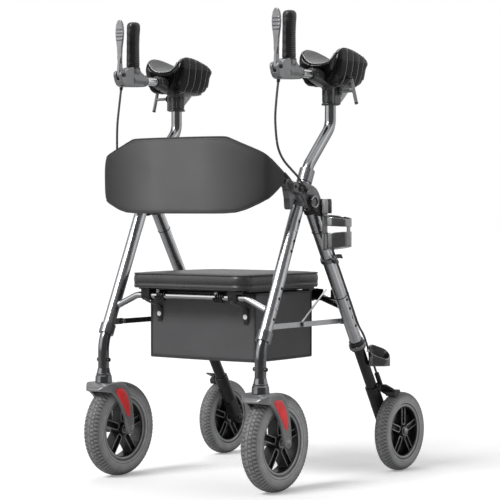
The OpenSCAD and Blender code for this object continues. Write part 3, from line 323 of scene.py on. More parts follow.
def bright_tube(name, color, roughness=0.23, metallic=1.0):
    """Drawn and anodised tube: fine lines along it, soft clouding and small handling marks."""
    s = Shade(name, color, roughness, metallic)
    soft = s.span(s.noise(14, 3), 0.3, 0.7, 0.0, 1.0)
    lines = s.add("ShaderNodeMapping", {"Vector": s.place})
    lines.inputs["Scale"].default_value = (2600, 2600, 60)
    drawn = s.noise(1.0, 2, 0.5, lines.outputs["Vector"])
    tone = s.mix(soft, tinted(color, 0.9), tinted(color, 1.08))
    s.set(s.bsdf, "Base Color", s.mix(s.math("MULTIPLY", drawn, 0.35), tone, tinted(color, 0.8)))
    marks = s.span(s.noise(90, 6, 0.7), 0.55, 0.75, 0.0, 0.12)
    s.set(s.bsdf, "Roughness", s.math("ADD", s.span(drawn, 0.3, 0.7, roughness - 0.04, roughness + 0.05), marks))
    s.set(s.bsdf, "Normal", s.bump(drawn, 0.008, 0.0001))
    return s.mat


def steel(name, color, roughness=0.28):
    """Turned or pressed steel: fine brushing, small marks, brighter edges."""
    s = Shade(name, color, roughness, 1.0)
    edge, rounded = s.edges(0.0006)
    s.set(s.bsdf, "Base Color", s.mix(edge, s.mix(s.noise(45, 4), tinted(color, 0.8), tinted(color, 1.15)), tinted(color, 1.5)))
    s.set(s.bsdf, "Roughness", s.span(s.noise(300, 5), 0.3, 0.7, roughness - 0.06, roughness + 0.1))
    s.set(s.bsdf, "Normal", s.bump(s.noise(900, 3), 0.08, 0.0001, rounded))
    return s.mat


def rubber(name, color, roughness=0.7, grain=0.3, dust=0.25, **sockets):
    s = Shade(name, color, roughness, **sockets)
    cloud = s.span(s.noise(30, 5, 0.6), 0.4, 0.75, 0.0, dust)
    s.set(s.bsdf, "Base Color", s.mix(cloud, s.mix(s.noise(12, 2), tinted(color, 0.85), tinted(color, 1.12)), tinted(color, 2.0)))
    s.set(s.bsdf, "Roughness", s.span(s.noise(80, 4), 0.3, 0.7, roughness - 0.1, roughness + 0.08))
    s.set(s.bsdf, "Normal", s.bump(s.noise(1100, 3), grain, 0.0003))
    return s.mat


def tread_rubber(name, dark, light, roughness=0.6):
    """Tyre rubber; the mesh's tone attribute goes from the dark grooves, which are painted shade and dirt, to the light
    rings.
    """
    s = Shade(name, dark, roughness)
    tone = s.add("ShaderNodeAttribute", attribute_name="tone").outputs["Fac"]
    cloud = s.span(s.noise(45, 5, 0.6), 0.3, 0.75, 0.78, 1.15)
    s.set(s.bsdf, "Base Color", s.mix(s.math("MULTIPLY", tone, cloud, clamp=True), dark, light))
    s.set(s.bsdf, "Roughness", s.span(s.noise(80, 4), 0.3, 0.7, roughness - 0.1, roughness + 0.08))
    s.set(s.bsdf, "Normal", s.bump(s.noise(1100, 3), 0.2, 0.0003))
    return s.mat


def weave(name, color, pitch, depth, roughness=0.75, sheen=0.25, gain=1.35, ends=None):
    """Plain woven cloth: crossed yarns along the width and the height, a soft uneven colour and, when ends are given,
    painted shade that darkens it towards both ends.
    """
    s = Shade(name, color, roughness)
    s.bsdf.inputs["Sheen Weight"].default_value = sheen
    s.bsdf.inputs["Sheen Roughness"].default_value = 0.5
    xyz = s.add("ShaderNodeSeparateXYZ", {0: s.place})
    across = s.math("ADD", xyz.outputs[0], s.math("MULTIPLY", xyz.outputs[1], 0.93))
    wobble = s.span(s.noise(70, 2), 0.0, 1.0, -0.0003, 0.0003)
    k = 2 * math.pi / pitch
    a = s.math("SINE", s.math("MULTIPLY", s.math("ADD", across, wobble), k))
    b = s.math("SINE", s.math("MULTIPLY", s.math("ADD", xyz.outputs[2], wobble), k))
    cross = s.math("MULTIPLY", a, b)
    yarn = s.span(cross, -1.0, 1.0, 0.0, 1.0)
    dye_and_end_shade = s.span(s.noise(9, 4), 0.3, 0.7, 0.9, 1.1)
    # painted shade: the colour falls off from the middle towards both ends
    if ends:
        centre, reach, low = ends
        from_middle = s.math("ABSOLUTE", s.math("SUBTRACT", xyz.outputs[0], centre))
        dye_and_end_shade = s.math("MULTIPLY", dye_and_end_shade, s.span(from_middle, reach * 0.3, reach * 0.95, 1.0, low))
    base = s.mix(yarn, tinted(color, 0.72), tinted(color, gain))
    tone = s.add("ShaderNodeVectorMath", operation="SCALE")
    s.set(tone, 0, base)
    s.set(tone, "Scale", dye_and_end_shade)
    s.set(s.bsdf, "Base Color", tone.outputs[0])
    fuzz = s.noise(1600, 3)
    s.set(s.bsdf, "Normal", s.bump(s.math("ADD", yarn, s.math("MULTIPLY", fuzz, 0.35)), depth, 0.0004))
    return s.mat


def leather(name, color, roughness=0.3):
    """Coated cover: pebbled grain, sewn tension shading and a slight sheen."""
    s = Shade(name, color, roughness)
    s.bsdf.inputs["Coat Weight"].default_value = 0.12
    s.bsdf.inputs["Coat Roughness"].default_value = 0.35
    cells = s.add("ShaderNodeTexVoronoi", {"Vector": s.place, "Scale": 620.0}, feature="DISTANCE_TO_EDGE").outputs["Distance"]
    pebble = s.span(cells, 0.0, 0.22, 0.0, 1.0)
    tone = s.mix(s.span(s.noise(16, 4), 0.3, 0.7, 0.0, 1.0), tinted(color, 0.85), tinted(color, 1.2))
    s.set(s.bsdf, "Base Color", s.mix(s.math("MULTIPLY", s.math("SUBTRACT", 1.0, pebble), 0.4), tone, tinted(color, 0.55)))
    s.set(s.bsdf, "Roughness", s.span(s.noise(120, 3), 0.3, 0.7, roughness - 0.05, roughness + 0.1))
    s.set(s.bsdf, "Normal", s.bump(s.math("ADD", pebble, s.math("MULTIPLY", s.noise(40, 3), 0.6)), 0.16, 0.0003))
    return s.mat


M = {
    "tube": bright_tube("tube", (0.52, 0.525, 0.54)),
    "bar": bright_tube("bar", (0.46, 0.464, 0.475), 0.2),
    "arm": bright_tube("arm", (0.82, 0.825, 0.84), 0.22),
    "dark_tube": bright_tube("dark_tube", (0.21, 0.212, 0.22), 0.18),
    "black_tube": bright_tube("black_tube", (0.05, 0.05, 0.052), 0.18, 0.9),
    "steel": steel("steel", (0.66, 0.67, 0.69)),
    "bolt": steel("bolt", (0.13, 0.131, 0.135), 0.3),
    # lighter rubber for the painted highlight lines along the pad ribs
    "rib_highlight": rubber("rib_highlight", (0.26, 0.261, 0.265), 0.45, 0.05, 0.1),
    "rim_line": rubber("rim_line", (0.46, 0.46, 0.455), 0.5, 0.05, 0.1),
    "rod": steel("rod", (0.55, 0.55, 0.56), 0.3),
    "black_steel": plastic("black_steel", (0.016, 0.016, 0.017), 0.24, 0.05, 4.0),
    "grey_metal": plastic("grey_metal", (0.23, 0.235, 0.24), 0.34, 0.1, 1.7, Metallic=0.35),
    "collar": plastic("collar", (0.24, 0.242, 0.25), 0.22, 0.06, 1.8, Metallic=0.85),
    "black": plastic("black", (0.014, 0.014, 0.015), 0.22, 0.1, 4.0, Specular_IOR_Level=0.35),
    "charcoal": plastic("charcoal", (0.03, 0.03, 0.032), 0.24, 0.1, 3.0),
    "fork": plastic("fork", (0.22, 0.221, 0.226), 0.2, 0.06, 1.8, Metallic=0.35),
    "housing": plastic("housing", (0.21, 0.212, 0.218), 0.22, 0.06, 1.7, Metallic=0.45),
    "lever": plastic("lever", (0.22, 0.222, 0.23), 0.2, 0.05, 2.2, Metallic=0.75),
    "cup": plastic("cup", (0.26, 0.261, 0.266), 0.13, 0.03, 1.5, Metallic=0.92),
    "clip_black": plastic("clip_black", (0.2, 0.201, 0.206), 0.14, 0.03, 1.8, Metallic=0.9),
    "rim": plastic("rim", (0.012, 0.012, 0.013), 0.3, 0.08, 8.0),
    # light grey for the rim lips and spoke beads as painted highlight of the wheel edges; also used for the hub rings
    "lip": plastic("lip", (0.30, 0.302, 0.31), 0.34, 0.08, 1.6, Metallic=0.4),
    "cradle": plastic("cradle", (0.06, 0.061, 0.064), 0.2, 0.08, 2.6, Metallic=0.3),
    "bracket": plastic("bracket", (0.13, 0.131, 0.136), 0.2, 0.06, 2.4, Metallic=0.45),
    "post": bright_tube("post", (0.30, 0.303, 0.312), 0.16),
    "link": steel("link", (0.5, 0.503, 0.515), 0.34),
    "clip": plastic("clip", (0.42, 0.42, 0.43), 0.35, 0.1, 1.4),
    "tyre": tread_rubber("tyre", (0.03, 0.03, 0.031), (0.44, 0.441, 0.446)),
    "grip": rubber("grip", (0.016, 0.016, 0.017), 0.36, 0.2, 0.1),
    "pad": rubber("pad", (0.004, 0.004, 0.005), 0.3, 0.03, 0.05, Specular_IOR_Level=0.08, Coat_Weight=0.3, Coat_Roughness=0.06),
    "pad_lining": weave("pad_lining", (0.2, 0.202, 0.206), 0.0016, 0.25, 0.8, 0.3),
    "cable": rubber("cable", (0.05, 0.05, 0.052), 0.38, 0.1, 0.1),
    # the band's last argument paints shade that darkens it towards both ends
    "band": weave("band", (0.095, 0.095, 0.098), 0.0032, 0.8, 0.7, 0.08, 1.5, (-0.0123, 0.256, 0.12)),
    "basket": weave("basket", (0.064, 0.064, 0.067), 0.0034, 0.7, 0.7, 0.08, 1.45),
    "piping": weave("piping", (0.014, 0.014, 0.015), 0.0012, 0.3, 0.6, 0.2),
    "seat": leather("seat", (0.034, 0.034, 0.036)),
    "red": plastic("red", (0.86, 0.035, 0.04), 0.2, 0.03, 1.1),
    "white": plastic("white", (0.95, 0.95, 0.945), 0.3, 0.05, 1.0),
}

NODE_LOOKS = {
    "tube": ["front_leg", "rear_leg"],
    "post": ["handle_post"],
    "bar": ["front_seat_bar"],
    "arm": ["arm_tube"],
    "dark_tube": ["front_lower_leg"],
    "black_tube": ["rear_lower_leg", "rear_seat_bar"],
    "bolt": ["frame_bolts"],
    "rod": ["fold_rods"],
    "black_steel": ["brace_front_links", "brace_rear_links"],
    "grey_metal": ["brake_lever", "lock_lever", "arm_bracket", "grip_housing"],
    "collar": ["front_collars"],
    "charcoal": ["top_bracket", "cup_holder", "cane_holder"],
    "black": ["rear_collars", "hinge_blocks", "wheel_bracket", "seat_board", "backrest_arms"],
    "fork": ["fork"],
    "rim": ["rear_rim", "front_rim"],
}
for link in ("brace_front_links", "brace_rear_links"):
    NODE_LOOKS["black_steel"].remove(link)
    data = nodes[link].data
    data.materials.clear()
    data.materials.append(M["black_steel"])
    data.materials.append(M["link"])
    for face in data.polygons:
        face.material_index = 1 if face.center.x > 0.2 and abs(face.normal.x) > 0.5 else 0
for look, names in NODE_LOOKS.items():
    for n in names:
        for full in (n, n + "_left", n + "_right"):
            if full in nodes:
                data = nodes[full].data
                data.materials.clear()
                data.materials.append(M[look])


def dress(obj, body, slot, *replaced):
    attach(obj, body)
    if replaced:
        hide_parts(*replaced)
    return obj


BODY_OF = {n: body for body, names in frame["record"]["behaviour"]["bodies"].items() for n in names}
SLOT_OF = {part["node"]: part["material_slot"] for part in frame["record"]["subparts"]}


def moulded(node, look, voxel=1.3, rounds=5, ratio=0.3):
    """A cast or moulded part with its edges rounded, in place of its sharp CAD solid."""
    obj = bpy.data.objects.new(node + "_shell", nodes[node].data.copy())
    bpy.context.scene.collection.objects.link(obj)
    m = obj.modifiers.new("voxels", "REMESH")
    m.mode = "VOXEL"
    m.voxel_size = voxel * MM
    m.use_smooth_shade = True
    m = obj.modifiers.new("rounding", "SMOOTH")
    m.factor = 0.5
    m.iterations = rounds
    m = obj.modifiers.new("lighter", "DECIMATE")
    m.ratio = ratio
    apply_modifiers(obj)
    obj.data.materials.clear()
    obj.data.materials.append(M[look])
    return dress(obj, BODY_OF[node], SLOT_OF[node], node)


MOULDED = (("fork", "fork", 1.6, 8), ("grip_housing", "housing", 1.0, 5), ("top_bracket", "bracket", 1.2, 4), ("wheel_bracket", "black", 1.4, 5),
           ("arm_bracket", "cradle", 1.2, 5), ("hinge_blocks", "black", 1.2, 4), ("cup_holder", "cup", 1.0, 3),
           ("cane_holder", "clip_black", 1.0, 3), ("brake_lever", "lever", 0.8, 3), ("brake_arm", "black_steel", 0.9, 3))


def castings():
    for name, look, voxel, rounds in MOULDED:
        for full in (name, name + "_left", name + "_right"):
            if full in nodes:
                moulded(full, look, voxel, rounds)


# ---------------------------------------------------------------- seat cushion
def rounded_outline(hx, y0, y1, r, arc=12, run=16):
    """Outline of a rounded rectangle as an even list of points, counter-clockwise."""
    cy, hy = (y0 + y1) / 2, (y1 - y0) / 2
    pts = []
    for q, (sx, sy) in enumerate(((1, 1), (-1, 1), (-1, -1), (1, -1))):
        c = np.array([sx * (hx - r), cy + sy * (hy - r)])
        for k in range(arc):
            a = math.radians(90 * q + 90 * k / (arc - 1))
            pts.append(c + r * np.array([math.cos(a), math.sin(a)]))
        nx = ((-1, 1), (-1, -1), (1, -1), (1, 1))[q]
        end = np.array([nx[0] * (hx - r), cy + nx[1] * (hy - r)]) + r * np.array([math.cos(math.radians(90 * q + 90)),
                                                                                 math.sin(math.radians(90 * q + 90))])
        for k in range(1, run):
            pts.append(pts[-1] * 0 + (c + r * np.array([math.cos(math.radians(90 * q + 90)), math.sin(math.radians(90 * q + 90))]))
                       * (1 - k / run) + end * (k / run))
    return np.array(pts)


def cushion():
    low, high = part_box("seat_pad")
    hx, y0, y1, z0 = (high[0] - low[0]) / 2 / MM - 0.4, low[1] / MM + 0.4, high[1] / MM - 0.4, low[2] / MM + 0.2
    cy, hy = (y0 + y1) / 2, (y1 - y0) / 2
    profile = [(7, 0), (2.5, 0.9), (0.9, 3.5), (0.5, 7), (1.0, 10.4), (2.9, 12.6), (3.0, 13.3), (1.0, 15.2), (0.3, 19), (0.2, 24),
               (0.6, 29), (1.4, 32.6), (3.0, 35.4), (5.2, 36.6), (7.0, 36.2), (9.5, 37.9), (14, 39.1), (22, 40.0), (34, 40.7), (50, 41.2),
               (70, 41.5), (95, 41.7), (120, 41.8), (140, 41.8), (hy - 2.6, 41.8)]
    base = rounded_outline(hx, y0, y1, 38)
    core = np.array([hx - hy, 0.0])
    rings = []
    for inset, z in profile:
        t = inset / hy
        inner = np.stack([np.clip(base[:, 0], -core[0], core[0]), np.full(len(base), cy)], 1)
        p = base * (1 - t) + inner * t
        # the sides pull in a little between the corners, and the top pulls gently down at each corner
        along_x = np.clip(1 - (np.abs(p[:, 0]) / hx) ** 3, 0, 1)
        along_y = np.clip(1 - (np.abs(p[:, 1] - cy) / hy) ** 3, 0, 1)
        wall = max(0.0, 1 - inset / 12)
        p = p.copy()
        p[:, 0] *= 1 - 0.006 * wall * along_y
        p[:, 1] = cy + (p[:, 1] - cy) * (1 - 0.007 * wall * along_x)
        zz = np.full(len(p), z0 + z)
        if z > 14:
            rim = math.exp(-((inset - 16) / 22) ** 2)
            corner = (np.abs(base[:, 0]) / hx) ** 6 * (np.abs(base[:, 1] - cy) / hy) ** 6
            zz -= 1.2 * rim * corner
            ripple = np.array([noise.noise(Vector((q[0] * 0.03, q[1] * 0.03, 3.1))) for q in p])
            zz += 0.35 * ripple * min(1, inset / 10)
            crease = np.array([noise.noise(Vector((q[0] * 0.09, q[1] * 0.09, z * 0.12))) for q in p])
            p *= 1 + (0.0018 * crease * wall)[:, None] * np.array([1, 0])
        rings.append(np.column_stack([p, np.minimum(zz, z0 + 41.8)]))
    pts = np.concatenate(rings)
    obj = weld(mesh("seat_cushion", pts, ring_faces(len(rings), len(base)), 1, M["seat"]), 0.2)
    dress(obj, "seat", "seat_cover", "seat_pad")
    welts = []
    for inset, z, r in ((1.6, 36.3, 1.5), (1.6, 13.0, 1.1), (2.6, 1.4, 1.3)):
        ring = rounded_outline(hx - inset, y0 + inset, y1 - inset, 38 - inset)
        along_x = np.clip(1 - (np.abs(ring[:, 0]) / hx) ** 3, 0, 1)
        along_y = np.clip(1 - (np.abs(ring[:, 1] - cy) / hy) ** 3, 0, 1)
        ring[:, 0] *= 1 - 0.006 * along_y
        ring[:, 1] = cy + (ring[:, 1] - cy) * (1 - 0.007 * along_x)
        path = np.column_stack([ring, np.full(len(ring), z0 + z)])
        welts.append(tube("welt", path, r, 1, M["seat"], 8, loop=True))
    dress(join("seat_welts", welts), "seat", "seat_cover")


# ---------------------------------------------------------------- backrest band
BAND = [(0, -318, 684, 873), (55, -317.2, 684, 873), (105, -314.5, 684, 872.8), (138, -311.5, 684.2, 872.3),
        (152, -310, 684.8, 870.5), (174, -307.6, 686.5, 862), (200, -304, 693, 851.5), (226, -299.8, 703.5, 841),
        (243, -296.5, 711, 833.5), (251.5, -292.5, 716, 828), (256, -285, 720, 822), (258, -272, 728, 814),
        (258.4, -256, 738, 804), (257.6, -240, 748, 795), (256.6, -229, 755, 789), (256, -223.6, 757.5, 786.5)]


def band():
    half = smooth_path([(a, b, (c + d) / 2) for a, b, c, d in BAND], 4)
    tall = np.interp(np.arange(len(half)) / 4, range(len(BAND)), [(d - c) / 2 for a, b, c, d in BAND])
    pts = np.concatenate([half[:0:-1] * (-1, 1, 1), half])
    tall = np.concatenate([tall[:0:-1], tall])
    n = len(pts)
    t = np.gradient(pts[:, :2], axis=0)
    t /= np.linalg.norm(t, axis=1)[:, None]
    normal = np.column_stack([t[:, 1], -t[:, 0]])
    rows = 22
    rings = []
    for i in range(n):
        ends = min(i, n - 1 - i)
        thick = 6.1 * min(1.0, 0.45 + ends / 14)
        front, back = [], []
        for k in range(rows + 1):
            v = -1 + 2 * k / rows
            fill = 0.2 + 0.8 * (1 - abs(v) ** 3.2) ** 0.6
            z = pts[i, 2] + (tall[i] - 1.2) * v
            soft = 0.35 * noise.noise(Vector((pts[i, 0] * 0.02, z * 0.02, 1.7)))
            swell = thick * fill + soft * fill
            front.append((pts[i, 0] + normal[i, 0] * swell, pts[i, 1] + normal[i, 1] * swell, z))
            back.append((pts[i, 0] - normal[i, 0] * swell, pts[i, 1] - normal[i, 1] * swell, z))
        rings.append(front + back[::-1])
    obj = mesh("backrest_cushion", np.array(rings).reshape(-1, 3), ring_faces(n, 2 * rows + 2), 1, M["band"])
    dress(obj, "frame", "band_fabric", "backrest_band")
    top = np.column_stack([pts[:, :2], pts[:, 2] + tall - 1.6])
    low = np.column_stack([pts[:, :2], pts[:, 2] - tall + 1.6])[::-1]
    rim = np.concatenate([top, low])
    welt = tube("backrest_welt", rim, 2.6, 1, M["piping"], 10, loop=True)
    dress(welt, "frame", "band_fabric")
    stitches = []
    for face in (1, -1):
        for edge in (-1, 1):
            for i in range(3, n - 3):
                for part in (0.1, 0.6):
                    p = pts[i] * (1 - part) + pts[i + 1] * part
                    q = pts[i] * (1 - part - 0.28) + pts[i + 1] * (part + 0.28)
                    line = []
                    for c in (p, q):
                        h = (tall[i] - 7.5) * edge
                        out = (6.1 * min(1.0, 0.45 + min(i, n - 1 - i) / 14) * (0.2 + 0.8 * (1 - (1 - 6.3 / tall[i]) ** 3.2) ** 0.6) + 0.2) * face
                        line.append((c[0] + normal[i, 0] * out, c[1] + normal[i, 1] * out, c[2] + h))
                    stitches.append(tube("stitch", np.array(line), 0.35, 1, M["piping"], 4))
    dress(join("backrest_stitches", stitches), "frame", "band_fabric")
    loops = []
    for _, side in SIDES:
        loops.append(revolve("eyelet", [(-1.5, 0.6), (-1.5, 5), (1.5, 5), (1.5, 0.6)], (256.4, -228.0, 772), (1, 0.05, 0), side, M["black"], 20))
    dress(join("backrest_end_caps", loops), "frame", "black_plastic")


# ---------------------------------------------------------------- basket
def basket():
    hx, y0, y1, z0, z1 = 166.0, -216.2, 30.2, 314.0, 482.5
    nx, ny, nz = 40, 30, 20
    points, faces = [], []

    def sheet_of(corner, u, v, nu, nv, shape):
        start = len(points)
        for j in range(nv + 1):
            for i in range(nu + 1):
                s, t = i / nu, j / nv
                p = np.array(corner) + np.array(u) * s + np.array(v) * t
                points.append(shape(p, s, t))
        for j in range(nv):
            for i in range(nu):
                a = start + j * (nu + 1) + i
                faces.append((a, a + 1, a + nu + 2, a + nu + 1))

    def ripple(a, b, c):
        return noise.noise(Vector((a * 0.018, b * 0.018, c)))

    def front(p, s, t):
        belly = math.sin(math.pi * s) * math.sin(math.pi * min(1, t * 1.05))
        return (p[0], p[1] + 1.3 * belly + 0.9 * ripple(p[0], p[2], 0.3) * belly, p[2] - (0.8 * math.sin(math.pi * s) if t == 0 else 0))

    def rear(p, s, t):
        belly = math.sin(math.pi * s) * math.sin(math.pi * min(1, t * 1.05))
        sag = 1.2 * math.sin(math.pi * s) * t
        return (p[0], p[1] - 2.5 * belly + 1.4 * ripple(p[0], p[2], 5.3) * belly, p[2] - sag - (0.8 * math.sin(math.pi * s) if t == 0 else 0))

    def flank(sign):
        def shape(p, s, t):
            belly = math.sin(math.pi * s) * math.sin(math.pi * min(1, t * 1.05))
            sag = 0.6 * math.sin(math.pi * s) * t ** 2
            return (p[0] - sign * (3.0 * belly + 1.8 * ripple(p[1], p[2], 2.3 + sign) * belly), p[1], p[2] - sag
                    - (0.6 * math.sin(math.pi * s) if t == 0 else 0))
        return shape

    def floor(p, s, t):
        dip = math.sin(math.pi * s) * math.sin(math.pi * t)
        edge = 0.8 * (math.sin(math.pi * s) if t in (0, 1) else 0) + 0.6 * (math.sin(math.pi * t) if s in (0, 1) else 0)
        return (p[0], p[1], p[2] - 0.8 * dip - edge * 0 + 0.5 * ripple(p[0], p[1], 7.7) * dip - edge)

    sheet_of((-hx, y0, z0), (2 * hx, 0, 0), (0, 0, z1 - z0), nx, nz, front)
    sheet_of((hx, y1, z0), (-2 * hx, 0, 0), (0, 0, z1 - z0), nx, nz, rear)
    sheet_of((hx, y0, z0), (0, y1 - y0, 0), (0, 0, z1 - z0), ny, nz, flank(1))
    sheet_of((-hx, y1, z0), (0, y0 - y1, 0), (0, 0, z1 - z0), ny, nz, flank(-1))
    sheet_of((-hx, y1, z0), (2 * hx, 0, 0), (0, y0 - y1, 0), nx, ny, floor)
    obj = weld(mesh("basket_shell", points, faces, 1, M["basket"]), 0.6)
    solid = obj.modifiers.new("thickness", "SOLIDIFY")
    solid.thickness = 2.2 * MM
    solid.offset = -1
    apply_modifiers(obj)
    dress(obj, "frame", "basket_fabric", "basket_tub", "basket_skirt")
    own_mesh(obj)

    def edge(a, b, steps, bend):
        a, b = np.array(a, float), np.array(b, float)
        return [tuple(a + (b - a) * k / steps + np.array(bend) * math.sin(math.pi * k / steps)) for k in range(steps + 1)]

    rims = [
        edge((-hx, y0, z0), (-hx, y0, z1), 12, (0, 0, 0)), edge((hx, y0, z0), (hx, y0, z1), 12, (0, 0, 0)),
        edge((-hx, y1, z0), (-hx, y1, z1), 12, (0, 0, 0)), edge((hx, y1, z0), (hx, y1, z1), 12, (0, 0, 0)),
        edge((-hx, y0, z0), (hx, y0, z0), 24, (0, 0, -0.8)), edge((-hx, y1, z0), (hx, y1, z0), 24, (0, 0, -0.8)),
        edge((hx, y0, z0), (hx, y1, z0), 20, (0, 0, -0.6)), edge((-hx, y0, z0), (-hx, y1, z0), 20, (0, 0, -0.6)),
        edge((-hx, y0, z1), (hx, y0, z1), 24, (0, 0, 0)), edge((-hx, y1, z1), (hx, y1, z1), 24, (0, 0, -1.2)),
        edge((hx, y0, z1), (hx, y1, z1), 20, (0, 0, -0.6)), edge((-hx, y0, z1), (-hx, y1, z1), 20, (0, 0, -0.6)),
    ]
    bound = join("basket_binding", [tube("binding", r, 2.3, 1, M["piping"], 8) for r in rims])
    dress(bound, "frame", "basket_fabric")
    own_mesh(bound)
    wide, long, tall = 2 * hx * MM, (y1 - y0) * MM, (z1 - z0) * MM
    tabs, snaps = [], []
    for _, side in SIDES:
        for layer, (wide, grow) in enumerate(((7.4, 0.0), (10.5, -1.2))):
            path = [(-252.3, 481.5), (-262, 486.2), (-272.5, 482.5), (-276, 474), (-273.6, 465), (-266, 459.5), (-250, 453.5), (-232, 449),
                    (-221.4, 442), (-219.6, 430), (-219.3, 420), (-219.2, 411)]
            if layer:
                path = [(-219.0, 444), (-218.9, 432), (-218.8, 420), (-218.8, 407)]
            rows = []
            for i, (y, z) in enumerate(path):
                w = wide if i < len(path) - 1 else wide * 0.7
                for x, off in ((-w, 0), (-w * 0.6, 0.35), (w * 0.6, 0.35), (w, 0)):
                    rows.append((138 + x, y - off, z))
            tab = mesh("tab", rows, ring_faces(len(path), 4, closed_rings=False, caps=False), side, M["piping"])
            thick = tab.modifiers.new("thickness", "SOLIDIFY")
            thick.thickness = 1.2 * MM
            thick.offset = 0
            apply_modifiers(tab)
            tabs.append(tab)
        snaps.append(revolve("snap", [(0, 0.3), (0, 6.8), (1.2, 6.5), (2.0, 5.2), (2.4, 3.0), (2.5, 0.3)], (138, -219.4, 425), (0, -1, 0), side, M["white"], 24))
    dress(join("basket_tabs", tabs), "frame", "basket_fabric")
    dress(join("basket_snaps", snaps), "frame", "steel")
    hooks = []
    for _, side in SIDES:
        for x in (60, 140):
            rows = []
            path = [(29, 470), (36, 474.6), (48, 474.5), (58, 473.5), (66, 475.6), (73, 474.2), (76.6, 466), (74, 457.6), (66, 454.6), (56, 459),
                    (44, 464), (33, 462), (28, 456)]
            for y, z in path:
                for dx in (-9, 9):
                    rows.append((x + dx, y, z))
            tab = mesh("loop", rows, ring_faces(len(path), 2, closed_rings=False, caps=False), side, M["piping"])
            thick = tab.modifiers.new("thickness", "SOLIDIFY")
            thick.thickness = 1.2 * MM
            thick.offset = 0
            apply_modifiers(tab)
            hooks.append(tab)
    loops = join("basket_rear_loops", hooks)
    dress(loops, "rear_frame", "basket_fabric")


# ---------------------------------------------------------------- forearm pads
PAD_INNER = [(54, 38), (48, 26), (41, 15.5), (31, 7), (18, 1.8)]
PAD_OUTER = [(58, 40), (62.5, 34), (64, 22), (63, 4), (59.5, -17), (54, -35), (46, -49), (36, -54), (26, -53), (22, -46), (21, -11)]


def pad_shape(s):
    """Wing height and width of the pad at a share s of its length."""
    stations = [(0, 0.2, 0.86), (0.015, 0.42, 0.92), (0.05, 0.7, 0.96), (0.1, 0.9, 1), (0.18, 1, 1), (0.25, 1.01, 1), (0.34, 0.98, 1),
                (0.42, 0.93, 1), (0.5, 0.87, 1), (0.59, 0.78, 0.99), (0.68, 0.69, 0.98), (0.76, 0.59, 0.97), (0.86, 0.44, 0.94),
                (0.94, 0.27, 0.89), (0.985, 0.12, 0.83), (1, 0.02, 0.78)]
    x = [a[0] for a in stations]
    return float(np.interp(s, x, [a[1] for a in stations])), float(np.interp(s, x, [a[2] for a in stations]))


